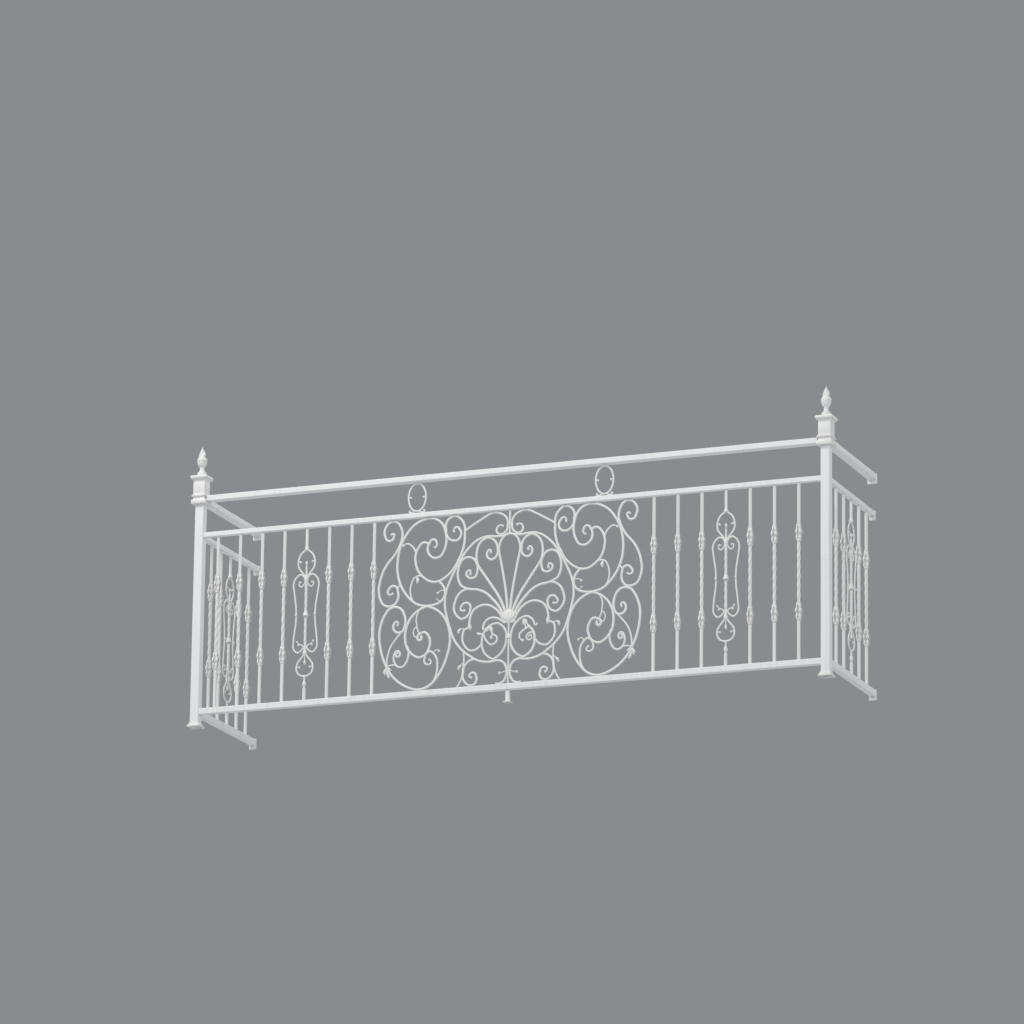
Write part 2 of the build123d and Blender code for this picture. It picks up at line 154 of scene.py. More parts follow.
SIDE_SCROLLS = (
    Scroll(
        ((-556, 713), (-548, 717), (-545, 705), (-560, 686), (-584, 703), (-590, 732), (-578, 757),
         (-548, 772), (-517, 752), (-505, 718), (-507, 688), (-527, 640), (-560, 598), (-593, 549),
         (-609, 497), (-611, 447), (-596, 407), (-566, 390), (-537, 396), (-521, 422), (-523, 457),
         (-545, 481), (-565, 466), (-562, 443), (-547, 447)),
        Tip.BEAD, Tip.BEAD, 9.0),
    Scroll(
        ((-351, 639), (-342, 646), (-343, 659), (-357, 675), (-375, 662), (-384, 627), (-368, 599),
         (-340, 590), (-313, 609), (-297, 657), (-303, 709), (-335, 759), (-385, 772), (-440, 753),
         (-483, 711), (-512, 657), (-525, 597), (-525, 542), (-512, 489), (-480, 433), (-435, 391),
         (-385, 378), (-340, 383), (-310, 401), (-299, 429), (-308, 461), (-335, 487)),
        Tip.BEAD, Tip.JOIN, 9.2),
    Scroll(
        ((-380, 655), (-399, 665), (-420, 655), (-440, 617), (-440, 577), (-424, 532), (-392, 500),
         (-350, 483), (-305, 496), (-264, 531), (-239, 573), (-215, 632), (-211, 692), (-221, 745),
         (-252, 772), (-290, 757), (-298, 712), (-281, 669), (-250, 661), (-229, 682), (-237, 712),
         (-256, 720), (-262, 703)),
        Tip.JOIN, Tip.BEAD, 9.0),
    Scroll(
        ((-521, 303), (-520, 315), (-531, 318), (-541, 300), (-534, 278), (-512, 268), (-492, 280),
         (-484, 312), (-492, 352), (-530, 385), (-575, 363), (-601, 307), (-606, 252), (-596, 187),
         (-573, 125), (-522, 55), (-455, 15), (-402, 8), (-352, 33), (-310, 89), (-285, 152),
         (-273, 217), (-288, 295), (-325, 347), (-385, 376), (-430, 357), (-463, 325), (-481, 282),
         (-484, 237), (-466, 183), (-425, 151), (-393, 157), (-372, 187), (-367, 222), (-380, 252),
         (-396, 261), (-413, 255), (-427, 240), (-416, 226), (-407, 235), (-411, 246), (-419, 243)),
        Tip.BEAD, Tip.JOIN, 9.4),
    Scroll(((-402, 510), (-428, 516), (-447, 508), (-463, 465), (-452, 408)), width=6.2),
    Scroll(((-438, 514), (-430, 501), (-434, 483)), Tip.JOIN, Tip.LEAF, 6.4),
    Scroll(
        ((-368, 136), (-361, 129), (-368, 116), (-387, 120), (-391, 142), (-384, 163), (-363, 174),
         (-341, 153), (-331, 112), (-333, 77), (-350, 36)),
        Tip.BEAD, Tip.JOIN, 7.8, bead=5.8),
    Scroll(((-492, 278), (-520, 250), (-548, 215), (-566, 165), (-569, 122)), width=6.6),
    Scroll(
        ((-474, 204), (-467, 165), (-480, 129), (-503, 113), (-527, 126), (-537, 153), (-532, 177),
         (-518, 187), (-508, 174), (-515, 161), (-527, 168), (-523, 177), (-516, 176)), width=8.0),
    Scroll(((-570, 117), (-546, 126), (-516, 117)), width=5.6),
    Scroll(((-414, 367), (-431, 337), (-431, 302), (-427, 277), (-416, 255)), width=5.6),
    Scroll(((-433, 289), (-446, 265), (-440, 245), (-430, 242), (-419, 249)), width=4.6),
    Scroll(((-440, 620), (-452, 646), (-468, 661), (-484, 666), (-499, 659)), Tip.JOIN, Tip.BEAD,
           7.0, bead=6.0),
    Scroll(((-526, 466), (-518, 476), (-512, 489)), width=6.0),
    Scroll(((-301, 438), (-318, 442), (-334, 432)), Tip.JOIN, Tip.BEAD, 3.8, bead=5.6),
    Scroll(((-312, 402), (-326, 396), (-336, 404)), Tip.JOIN, Tip.BEAD, 3.8, bead=4.4),
    Scroll(((-347, 163), (-333, 178), (-324, 171)), Tip.JOIN, Tip.BEAD, 3.8, bead=5.6),
    Scroll(((-566, 124), (-574, 106), (-586, 92)), Tip.JOIN, Tip.LEAF, 6.0),
    Scroll(((-572, 122), (-566, 92), (-554, 66)), Tip.JOIN, Tip.LEAF, 6.0),
    Scroll(((-566, 118), (-556, 108), (-547, 100)), Tip.JOIN, Tip.LEAF, 5.4),
    Scroll(((-568, 116), (-576, 98), (-577, 82)), Tip.JOIN, Tip.LEAF, 5.4),
)

FAN_SCROLLS = (
    Scroll(
        ((0, 672), (-42, 663), (-85, 666), (-127, 663), (-165, 645), (-203, 609), (-232, 567),
         (-260, 517), (-284, 465), (-299, 407), (-296, 347), (-283, 297), (-262, 232), (-228, 179),
         (-180, 138), (-128, 110), (-66, 107), (-38, 106), (-16, 90), (-7, 58), (-14, 25), (-30, 8),
         (-55, 6)),
        Tip.JOIN, Tip.BEAD, 8.8, bead=4.6),
    Scroll(
        ((-209, 701), (-165, 728), (-110, 758), (-72, 771), (-38, 762), (-14, 739), (-11, 709),
         (-19, 681), (-42, 671), (-60, 682), (-60, 700), (-50, 711), (-35, 709)),
        Tip.JOIN, Tip.BEAD, 8.2, bead=6.4),
    Scroll(((-5, 296), (-13, 397), (-25, 472), (-35, 526), (-46, 577), (-49, 612), (-41, 642),
            (-25, 662), (0, 673)), width=8.6, start_width=10.0, swell=300.0),
    Scroll(
        ((-11, 300), (-34, 366), (-67, 424), (-103, 476), (-136, 523), (-152, 557), (-153, 602),
         (-139, 639), (-105, 661), (-67, 641), (-56, 603), (-63, 572), (-83, 561), (-104, 577),
         (-101, 602), (-93, 606), (-88, 594)),
        Tip.JOIN, Tip.BEAD, 8.8, 10.8, 360.0, 6.0),
    Scroll(
        ((-22, 296), (-45, 345), (-80, 387), (-117, 419), (-160, 434), (-195, 440), (-226, 457),
         (-241, 502), (-230, 557), (-195, 581), (-160, 562), (-148, 524), (-156, 493), (-176, 485),
         (-198, 497), (-194, 519), (-183, 521), (-181, 509), (-182, 504)),
        Tip.JOIN, Tip.BEAD, 8.8, 11.2, 300.0, 6.0),
    Scroll(
        ((-186, 439), (-228, 425), (-252, 385), (-250, 332), (-222, 306), (-193, 317), (-180, 347),
         (-200, 377), (-222, 363), (-222, 344), (-208, 343)),
        Tip.JOIN, Tip.BEAD, 8.8, bead=6.2),
    Scroll(((-29, 290), (-45, 321), (-70, 345), (-115, 361), (-165, 341), (-180, 310), (-178, 252)),
           Tip.JOIN, Tip.LEAF, 8.4, 9.6, 220.0),
    Scroll(((-30, 278.6), (-15, 275), (0, 274)), width=7.4),
    Scroll(((-125, 189), (-148, 166), (-178, 161), (-205, 185), (-214, 235), (-203, 258),
            (-180, 261)), width=8.0),
    Scroll(
        ((-160, 121), (-197, 104), (-209, 67), (-203, 25), (-176, 6), (-153, 15), (-149, 45),
         (-160, 62), (-175, 59), (-181, 48), (-172, 41)),
        Tip.JOIN, Tip.BEAD, 8.4, bead=5.8),
    Scroll(((-210, 160), (-207, 117), (-212, 77), (-217, 42), (-238, 4)), width=6.2),
    Scroll(((-209, 107), (-223, 98), (-234, 78)), Tip.JOIN, Tip.LEAF, 5.6),
    Scroll(((-205, 252), (-222, 262), (-232, 240)), Tip.JOIN, Tip.LEAF, 5.6),
    Scroll(((-8, 60), (-22, 55), (-40, 51)), Tip.JOIN, Tip.BEAD, 3.8, bead=6.4),
)

# The round volutes beside the stem differ: the left one is closed, with a crest over it, and the
# right one opens into a leaf, so that its crest starts at the stem.
LEFT_VOLUTE = (
    Scroll(((-30, 281), (-55, 297), (-80, 300.5), (-108, 287), (-118, 250)), width=8.4),
    Scroll(((-10, 200), (-20, 249), (-54, 275), (-107, 249), (-124, 200), (-110, 144), (-70, 115),
            (-27, 149), (-10, 200))),
    Scroll(((-117, 234), (-107, 205), (-84, 181), (-63, 186), (-53, 205), (-60, 219), (-72, 223),
            (-79, 238), (-80, 262)), Tip.JOIN, Tip.LEAF, 7.4),
    Scroll(((-109, 243), (-97, 250), (-82, 263)), Tip.JOIN, Tip.LEAF, 8.4),
    Scroll(((-118, 231), (-134, 232), (-150, 238)), Tip.JOIN, Tip.LEAF, 5.6),
    Scroll(((-68, 222), (-79, 220), (-81, 212)), Tip.JOIN, Tip.BEAD, 6.0, bead=6.8),
)
RIGHT_VOLUTE = (
    Scroll(((-10, 212), (-18, 246), (-40, 275), (-58, 289), (-80, 295), (-106, 283), (-119, 259),
            (-124, 252), (-131, 257)), Tip.JOIN, Tip.BEAD, 8.4, bead=4.6),
    Scroll(((-10, 212), (-22, 150), (-66, 115), (-107, 142), (-121, 192), (-116, 222), (-100, 243),
            (-86, 259), (-69, 284)), Tip.JOIN, Tip.LEAF, 9.6),
    Scroll(((-96, 247), (-78, 239), (-60, 227), (-50, 207), (-66, 188)), Tip.JOIN, Tip.BEAD, 7.4,
           bead=6.8),
    Scroll(((-82, 242), (-75, 258), (-69, 283)), Tip.JOIN, Tip.LEAF, 9.6),
    Scroll(((-119, 214), (-105, 221), (-90, 216), (-83, 202), (-93, 188), (-106, 194), (-105, 207),
            (-98, 210), (-94, 203)), Tip.JOIN, Tip.BEAD, 6.4, bead=3.8),
)

LYRE_SCROLLS = (
    Scroll(((5, 541), (14, 562), (31, 569), (52, 551), (60, 515), (54, 475), (47, 430), (45, 385),
            (47, 340), (53, 298), (57, 255), (50, 227), (34, 215.5), (17, 226), (4, 246)),
           width=6.4, start_width=7.0),
    Scroll(((5, 548), (10, 525), (22, 513), (32, 518), (34, 529), (31, 536), (26, 534)), Tip.JOIN,
           Tip.BEAD, 5.4, bead=4.4),
    Scroll(((4, 231), (11, 246), (22, 252.5), (32, 257), (38, 266)), Tip.JOIN, Tip.BEAD, 5.2,
           bead=4.6),
    Scroll(((24, 253), (28, 252), (32, 249.5)), Tip.JOIN, Tip.BEAD, 4.4, bead=4.4),
    Scroll(((4, 678), (25, 664), (37, 641), (40, 620), (36, 599), (22, 580), (5, 561)), width=6.8),
    Scroll(((2, 209), (17, 191), (30, 175), (39.5, 149), (34, 127), (20, 113.5), (0, 110)),
           width=6.8),
    Scroll(((39, 633), (35, 628), (29, 626)), Tip.JOIN, Tip.BEAD, 4.8, bead=5.4),
    Scroll(((38, 153), (32, 151), (25, 150)), Tip.JOIN, Tip.BEAD, 4.4, bead=5.0),
)

# The fan's hub and the sleeve round its stem: radius and height of each level.
HUB = ((20, -29), (26, -28), (29, -25), (31, -17), (34, -7), (35.5, 2), (34, 10), (30, 18),
       (23, 25), (14, 30), (5, 33))
SLEEVE = ((12.4, -10.4), (14.4, -9.4), (15.0, -6.0), (14.6, 0.0), (15.0, 6.0), (14.4, 9.0),
          (12.4, 10.0))

# The head of a wall plate's screw, in the same way.
SCREW_HEAD = ((3.9, 0.0), (4.4, 0.4), (4.2, 1.3), (3.0, 2.2), (1.2, 2.6))

# The cast knuckle: radius and height of each level of its core, about its widest level.
KNUCKLE_CORE = (
    (6.8, -42.0), (9.2, -41.6), (9.9, -40.0), (9.4, -38.0), (8.4, -36.6), (9.4, -30.0),
    (9.8, -20.0), (8.8, -12.5), (10.2, -6.0), (11.0, 1.0), (10.2, 8.0), (8.6, 13.0), (9.2, 19.0),
    (8.4, 28.0), (7.2, 34.0), (7.2, 36.0), (8.4, 37.4), (8.6, 39.2), (7.8, 41.0), (6.6, 42.0))

# Its leaves: name, foot, tip, bulge, width, thickness, and the turn of the first in degrees.
KNUCKLE_LEAVES = (
    ("middle_leaf", (9.8, -12.5), (9.6, 15.0), 4.6, 14.5, 6.0, 45.0),
    ("lower_leaf", (8.6, -38.0), (9.0, -8.5), 3.2, 12.5, 5.0, 45.0),
    ("upper_leaf", (9.0, 9.0), (7.0, 37.0), 2.4, 11.0, 4.6, 45.0),
    ("low_bud", (9.0, -18.0), (9.4, -6.0), 1.6, 5.0, 3.2, 90.0),
    ("high_bud", (9.4, 6.0), (8.6, 18.0), 1.6, 5.0, 3.2, 90.0),
)

# The ornamental baluster's straight bars: their two ends, width and turns of twist.
ORNATE_BARS = (
    (0.0, 52.0, 12.0, 0.0), (206.0, 552.0, 10.0, 2.0), (690.0, DRAWN_HEIGHT_MM, 10.6, 0.0))

# Its turned knobs: the level of each, with radius and height above that level of its outline.
ORNATE_KNOBS = (
    (690.0, ((4.6, -14), (8.8, -13), (10.2, -10.5), (9.4, -6), (7.8, 0), (6.6, 6), (5.6, 12))),
    (600.0, ((5.4, -50), (4.5, -38), (4.0, -10), (4.3, -2), (3.2, 2), (2.0, 6), (2.0, 11),
             (4.4, 14.5), (6.0, 19), (5.0, 24), (2.4, 27.5), (0.4, 30))),
    (550.0, ((5.2, -30), (6.8, -26), (7.4, -20), (8.8, -12), (10.4, -4), (9.8, 2), (7.2, 8),
             (5.2, 13))),
    (392.0, ((5.6, -16), (8.2, -13.5), (11.8, -14.5), (12.6, -12), (11.4, -5), (8.8, 4),
             (6.6, 10), (5.6, 12))),
    (212.0, ((5.5, -12), (9.4, -5), (10.0, 2), (7.6, 9), (5.6, 14))),
    (182.0, ((0.4, -22), (3.0, -20), (5.2, -16), (5.6, -10), (3.2, -2), (2.1, 4), (2.3, 18),
             (2.6, 26))),
    (100.0, ((4.4, 12), (6.5, 6), (3.9, 0), (3.5, -12), (5.6, -16), (8.2, -22), (8.0, -30),
             (6.0, -37), (3.9, -42), (6.0, -46), (8.0, -50), (6.4, -54))),
)


def arc_points(a: Point2, b: Point2, c: Point2) -> list[Point2]:
    """Points along the arc from a through b to c.

    Args:
        a: where the arc starts.
        b: a point on it.
        c: where it ends.

    Returns:
        The points after a, close enough together for a smooth bar.
    """
    turn = 2 * (a[0] * (b[1] - c[1]) + b[0] * (c[1] - a[1]) + c[0] * (a[1] - b[1]))
    squares = [p[0] ** 2 + p[1] ** 2 for p in (a, b, c)]
    ox = (squares[0] * (b[1] - c[1]) + squares[1] * (c[1] - a[1])
          + squares[2] * (a[1] - b[1])) / turn
    oy = (squares[0] * (c[0] - b[0]) + squares[1] * (a[0] - c[0])
          + squares[2] * (b[0] - a[0])) / turn
    radius = math.hypot(a[0] - ox, a[1] - oy)
    first, mid, last = (math.atan2(p[1] - oy, p[0] - ox) for p in (a, b, c))
    full = 2 * math.pi
    sweep = (last - first) % full
    if (mid - first) % full > sweep:
        sweep -= full
    count = max(2, math.ceil(abs(sweep) / math.radians(ARC_STEP_DEG)),
                math.ceil(abs(sweep) * radius / ARC_STEP_MM))
    return [(ox + radius * math.cos(first + sweep * k / count),
             oy + radius * math.sin(first + sweep * k / count)) for k in range(1, count + 1)]


def scroll_line(scroll: Scroll) -> list[Point2]:
    """Points along one scroll's centre line.

    Args:
        scroll: the bar.

    Returns:
        All points of its arcs, in drawn millimetres.
    """
    line = [scroll.points[0]]
    for k in range(0, len(scroll.points) - 2, 2):
        line += arc_points(*scroll.points[k:k + 3])
    return line


def girths(scroll: Scroll, line: Sequence[Point2]) -> list[float]:
    """Half width of the bar at each point of its line, in millimetres.

    Args:
        scroll: the bar and its ends.
        line: its centre line.

    Returns:
        One half width for each point: slimmer towards a bead, swelling before a leaf's tip.
    """
    run = [0.0]
    for p, q in zip(line, line[1:]):
        run.append(run[-1] + math.dist(p, q))
    total = run[-1]
    half = scroll.width / 2
    thick = scroll.start_width / 2 or half
    slim_length = min(BEAD_TAPER_MM, total / 2)
    leaf_length = min(LEAF_MM, total)
    result = []
    for s in run:
        swell = max(0.0, 1 - s / min(scroll.swell, total)) ** 1.2
        girth = half + (thick - half) * swell
        for tip, distance in ((scroll.start, s), (scroll.finish, total - s)):
            if tip is Tip.BEAD and distance < slim_length:
                girth *= 0.66 + 0.34 * (distance / slim_length) ** 0.8
            if tip is Tip.LEAF and distance < leaf_length:
                part = distance / leaf_length
                belly = 2.3 * math.sin(math.pi * part) * (1 - 0.55 * part)
                girth = max(0.35, half * (0.25 + belly))
        result.append(girth)
    return result


# Meshes


def smooth(mesh: Mesh, angle: float = SHARP_DEG) -> Mesh:
    """Shade a mesh smooth, with its sharp edges kept.

    Args:
        mesh: the mesh, which is changed.
        angle: edges are kept sharp past this angle in degrees.

    Returns:
        The same mesh.
    """
    mesh.shade_smooth()
    mesh.set_sharp_from_angle(angle=math.radians(angle))
    return mesh


def skinned(name: str, rings: Sequence[Sequence[Point3]], angle: float = SHARP_DEG) -> Mesh:
    """A closed body skinned over rings, capped at both ends.

    Args:
        name: the mesh's name.
        rings: outlines of equally many points, from one end of the body to the other.
        angle: edges are kept sharp past this angle in degrees.

    Returns:
        The mesh, merged and with its faces pointing outwards.
    """
    work = bmesh.new()
    rows = [[work.verts.new(p) for p in ring] for ring in rings]
    count = len(rows[0])
    for lower, upper in zip(rows, rows[1:]):
        for k in range(count):
            j = (k + 1) % count
            work.faces.new((lower[k], lower[j], upper[j], upper[k]))
    work.faces.new(rows[0][::-1])
    work.faces.new(rows[-1])
    bmesh.ops.remove_doubles(work, verts=work.verts, dist=1e-6)
    bmesh.ops.recalc_face_normals(work, faces=work.faces)
    mesh = bpy.data.meshes.new(name)
    work.to_mesh(mesh)
    work.free()
    return smooth(mesh, angle)


def joined(name: str, *parts: Mesh | Placed) -> Mesh:
    """One mesh holding copies of several.

    Args:
        name: the new mesh's name.
        parts: meshes that are in place, or pairs of a mesh and the matrix that places it.

    Returns:
        The joined mesh.
    """
    work = bmesh.new()
    for part in parts:
        mesh, matrix = part if isinstance(part, tuple) else (part, Matrix())
        copy = mesh.copy()
        copy.transform(matrix)
        if matrix.determinant() < 0:
            copy.flip_normals()
        work.from_mesh(copy)
        bpy.data.meshes.remove(copy)
    result = bpy.data.meshes.new(name)
    work.to_mesh(result)
    work.free()
    return smooth(result)


def rounded_square(half: float, corner: float, z: float, steps: int = 3) -> list[Point3]:
    """Points around a square with rounded corners.

    Args:
        half: half its width.
        corner: radius of its corners.
        z: its height.
        steps: steps round each corner.

    Returns:
        The points, anticlockwise from above.
    """
    inner = half - corner
    points = []
    for quarter in range(4):
        base = quarter * math.pi / 2
        cx = inner * (1 if quarter in (0, 3) else -1)
        cy = inner * (1 if quarter in (0, 1) else -1)
        for k in range(steps + 1):
            angle = base + k * math.pi / 2 / steps
            points.append((cx + corner * math.cos(angle), cy + corner * math.sin(angle), z))
    return points


def square_casting(name: str, profile: Sequence[Point2], corner: float) -> Mesh:
    """A square casting from its profile.

    Args:
        name: the mesh's name.
        profile: half width and height of each level, in millimetres, from the bottom up.
        corner: radius of the upright edges, in millimetres.

    Returns:
        The casting's mesh, standing on the origin's axis.
    """
    rings = [rounded_square(half * MM, min(corner, half * 0.6) * MM, z * MM, 4)
             for half, z in profile]
    return skinned(name, rings, CASTING_SHARP_DEG)


def bow(a: Point2, b: Point2, bulge: float, steps: int = 6) -> list[Point2]:
    """Profile points on a curve from a to b.

    Args:
        a: where it starts.
        b: where it ends.
        bulge: how far it bulges sideways, as a share of its length.
        steps: how many points follow a.

    Returns:
        The points after a.
    """
    dx, dy = b[0] - a[0], b[1] - a[1]
    points = []
    for k in range(1, steps + 1):
        t = k / steps
        out = 4 * bulge * t * (1 - t)
        points.append((a[0] + dx * t + dy * out, a[1] + dy * t - dx * out))
    return points


# Geometry nodes


class Tree:
    """A node tree that is put together with short calls."""

    def __init__(self, tree: NodeTree) -> None:
        """Keep the tree that is built."""
        self.tree = tree

    def node(self, kind: str, values: dict | None = None, **settings: object) -> Node:
        """Add a node.

        Args:
            kind: the node's type.
            values: input values by socket name or number.
            settings: attributes of the node.

        Returns:
            The new node.
        """
        made = self.tree.nodes.new(kind)
        for key, value in settings.items():
            setattr(made, key, value)
        for key, value in (values or {}).items():
            made.inputs[key].default_value = value
        return made

    def math(self, operation: str, values: dict | None = None, **settings: object) -> Node:
        """Add a math node."""
        return self.node("ShaderNodeMath", values, operation=operation, **settings)

    def noise(self, scale: float, detail: float, roughness: float) -> Node:
        """Add a noise texture."""
        values = {"Scale": scale, "Detail": detail, "Roughness": roughness}
        return self.node("ShaderNodeTexNoise", values)

    def share(self, start: float, end: float) -> Node:
        """Add a node that tells how far a value has come from start to end, from 0 to 1."""
        return self.node("ShaderNodeMapRange", {"From Min": start, "From Max": end}, clamp=True)

    def wire(self, *links: tuple[Node, str | int, Node, str | int]) -> None:
        """Join sockets, each row naming a node and its output, then a node and its input."""
        for source, output, target, entry in links:
            self.tree.links.new(source.outputs[output], target.inputs[entry])


@dataclass(frozen=True)
class TreeInput:
    """A named input of a node group."""

    name: str
    kind: str
    value: object = None


def new_group(name: str, kind: str, inputs: Sequence[TreeInput],
              outputs: Sequence[TreeInput]) -> tuple[Tree, Node, Node]:
    """Start a node group with its sockets.

    Args:
        name: the group's name.
        kind: GeometryNodeTree or ShaderNodeTree.
        inputs: its inputs, with their default values.
        outputs: its outputs.

    Returns:
        The tree, its input node and its output node.
    """
    group = bpy.data.node_groups.new(name, kind)
    for entry in inputs:
        socket = group.interface.new_socket(name=entry.name, in_out="INPUT", socket_type=entry.kind)
        if entry.value is not None:
            socket.default_value = entry.value
    for entry in outputs:
        group.interface.new_socket(name=entry.name, in_out="OUTPUT", socket_type=entry.kind)
    tree = Tree(group)
    return tree, tree.node("NodeGroupInput"), tree.node("NodeGroupOutput")


GEOMETRY = TreeInput("Geometry", "NodeSocketGeometry")


def number(name: str, value: float | None = None) -> TreeInput:
    """A socket that takes a number."""
    return TreeInput(name, "NodeSocketFloat", value)


def whole(name: str, value: int) -> TreeInput:
    """A socket that takes a whole number."""
    return TreeInput(name, "NodeSocketInt", value)


def geometry_group(name: str, *inputs: TreeInput) -> tuple[Tree, Node, Node]:
    """Start a geometry tree that takes geometry, some inputs and a finish, and gives geometry."""
    entries = (GEOMETRY, *inputs, TreeInput("Finish", "NodeSocketMaterial"))
    return new_group(name, "GeometryNodeTree", entries, (GEOMETRY,))


def finish_geometry(tree: Tree, last: Node, output: str, start: Node, end: Node) -> NodeTree:
    """End a geometry tree: realize what the last node gives, smooth it and give it its finish.

    Args:
        tree: the tree.
        last: the node that gives the shape.
        output: the name of that output.
        start: the tree's input node.
        end: its output node.

    Returns:
        The finished node group.
    """
    real = tree.node("GeometryNodeRealizeInstances")
    shade = tree.node("GeometryNodeSetShadeSmooth")
    paint = tree.node("GeometryNodeSetMaterial")
    tree.wire((last, output, real, "Geometry"), (real, "Geometry", shade, "Geometry"),
              (shade, "Geometry", paint, "Geometry"), (start, "Finish", paint, "Material"),
              (paint, "Geometry", end, "Geometry"))
    return tree.tree


def swept_bar_tree() -> NodeTree:
    """Geometry nodes that sweep an oval bar along edges, as thick as their girth attribute.

    Returns:
        The node group.
    """
    tree, start, end = geometry_group("swept_bar", number("Depth Ratio", 1.15), whole("Sides", 10))
    line = tree.node("GeometryNodeMeshToCurve")
    girth = tree.node("GeometryNodeInputNamedAttribute", {"Name": "girth"}, data_type="FLOAT")
    section = tree.node("GeometryNodeCurvePrimitiveCircle", {"Radius": 1.0})
    stretch = tree.node("ShaderNodeCombineXYZ", {"X": 1.0, "Z": 1.0})
    oval = tree.node("GeometryNodeTransform")
    sweep = tree.node("GeometryNodeCurveToMesh", {"Fill Caps": True})
    tree.wire(
        (start, "Geometry", line, "Mesh"), (start, "Sides", section, "Resolution"),
        (start, "Depth Ratio", stretch, "Y"), (section, "Curve", oval, "Geometry"),
        (stretch, "Vector", oval, "Scale"), (line, "Curve", sweep, "Curve"),
        (oval, "Geometry", sweep, "Profile Curve"), (girth, "Attribute", sweep, "Scale"))
    return finish_geometry(tree, sweep, "Mesh", start, end)


def bead_tree() -> NodeTree:
    """Geometry nodes that set a bead on each point, as large as its girth attribute.

    Returns:
        The node group.
    """
    tree, start, end = geometry_group("beads_on_tips", whole("Rings", 7))
    girth = tree.node("GeometryNodeInputNamedAttribute", {"Name": "girth"}, data_type="FLOAT")
    ball = tree.node("GeometryNodeMeshUVSphere", {"Segments": 12, "Radius": 1.0})
    place = tree.node("GeometryNodeInstanceOnPoints")
    tree.wire(
        (start, "Rings", ball, "Rings"), (start, "Geometry", place, "Points"),
        (ball, "Mesh", place, "Instance"), (girth, "Attribute", place, "Scale"))
    return finish_geometry(tree, place, "Instances", start, end)


def twisted_bar_tree() -> NodeTree:
    """Geometry nodes that stand a square bar on each point, twisted over its middle stretch.

    Returns:
        The node group.
    """
    tree, start, end = geometry_group(
        "twisted_bar", number("Width", 0.012), number("Length", 0.778), number("Corner", 0.0014),
        number("Twist Start", 0.3), number("Twist End", 0.6), number("Turns", 1.25),
        whole("Segments", 90))
    top = tree.node("ShaderNodeCombineXYZ")
    line = tree.node("GeometryNodeCurvePrimitiveLine")
    cut = tree.node("GeometryNodeResampleCurve")
    along = tree.node("GeometryNodeSplineParameter")
    share = tree.node("ShaderNodeMapRange", clamp=True)
    angle = tree.math("MULTIPLY", {1: 2 * math.pi})
    tilt = tree.node("GeometryNodeSetCurveTilt")
    square = tree.node("GeometryNodeCurvePrimitiveQuadrilateral")
    fillet = tree.node("GeometryNodeFilletCurve", {"Count": 2}, mode="POLY")
    sweep = tree.node("GeometryNodeCurveToMesh", {"Fill Caps": True})
    place = tree.node("GeometryNodeInstanceOnPoints")
    tree.wire(
        (start, "Length", top, "Z"), (top, "Vector", line, "End"), (line, "Curve", cut, "Curve"),
        (start, "Segments", cut, "Count"), (along, "Factor", share, "Value"),
        (start, "Twist Start", share, "From Min"), (start, "Twist End", share, "From Max"),
        (start, "Turns", share, "To Max"), (share, "Result", angle, 0),
        (cut, "Curve", tilt, "Curve"),
        (angle, "Value", tilt, "Tilt"), (start, "Width", square, "Width"),
        (start, "Width", square, "Height"), (square, "Curve", fillet, "Curve"),
        (start, "Corner", fillet, "Radius"), (tilt, "Curve", sweep, "Curve"),
        (fillet, "Curve", sweep, "Profile Curve"), (start, "Geometry", place, "Points"),
        (sweep, "Mesh", place, "Instance"))
    return finish_geometry(tree, place, "Instances", start, end)


def ring_of_copies_tree() -> NodeTree:
    """Geometry nodes that turn copies of what they are given about the upright axis.

    Returns:
        The node group.
    """
    tree, start, end = geometry_group("ring_of_copies", whole("Count", 4),
                                      number("First Turn", 0.0))
    points = tree.node("GeometryNodeMeshLine", {"Offset": (0.0, 0.0, 0.0)})
    index = tree.node("GeometryNodeInputIndex")
    step = tree.math("DIVIDE", {0: 2 * math.pi})
    turn = tree.math("MULTIPLY_ADD")
    axis = tree.node("ShaderNodeCombineXYZ")
    place = tree.node("GeometryNodeInstanceOnPoints")
    tree.wire(
        (start, "Count", points, "Count"), (start, "Count", step, 1), (index, "Index", turn, 0),
        (step, "Value", turn, 1), (start, "First Turn", turn, 2), (turn, "Value", axis, "Z"),
        (points, "Mesh", place, "Points"), (start, "Geometry", place, "Instance"),
        (axis, "Vector", place, "Rotation"))
    return finish_geometry(tree, place, "Instances", start, end)


def grown(name: str, mesh: Mesh, tree: NodeTree, **inputs: object) -> Mesh:
    """Run a geometry tree on a mesh.

    Args:
        name: the name of the result.
        mesh: what the tree starts from.
        tree: the geometry nodes.
        inputs: the tree's inputs, with _ for a space in their names.

    Returns:
        The plain mesh that the tree makes.
    """
    holder = bpy.data.objects.new(name, mesh)
    bpy.context.scene.collection.objects.link(holder)
    modifier = holder.modifiers.new("grow", "NODES")
    modifier.node_group = tree
    for item in tree.interface.items_tree:
        key = item.name.replace(" ", "_")
        if item.in_out == "INPUT" and key in inputs:
            modifier[item.identifier] = inputs[key]
    holder.update_tag()
    bpy.context.view_layer.update()
    graph = bpy.context.evaluated_depsgraph_get()
    result = bpy.data.meshes.new_from_object(holder.evaluated_get(graph))
    result.name = name
    holder.modifiers.remove(modifier)
    bpy.data.objects.remove(holder)
    return result


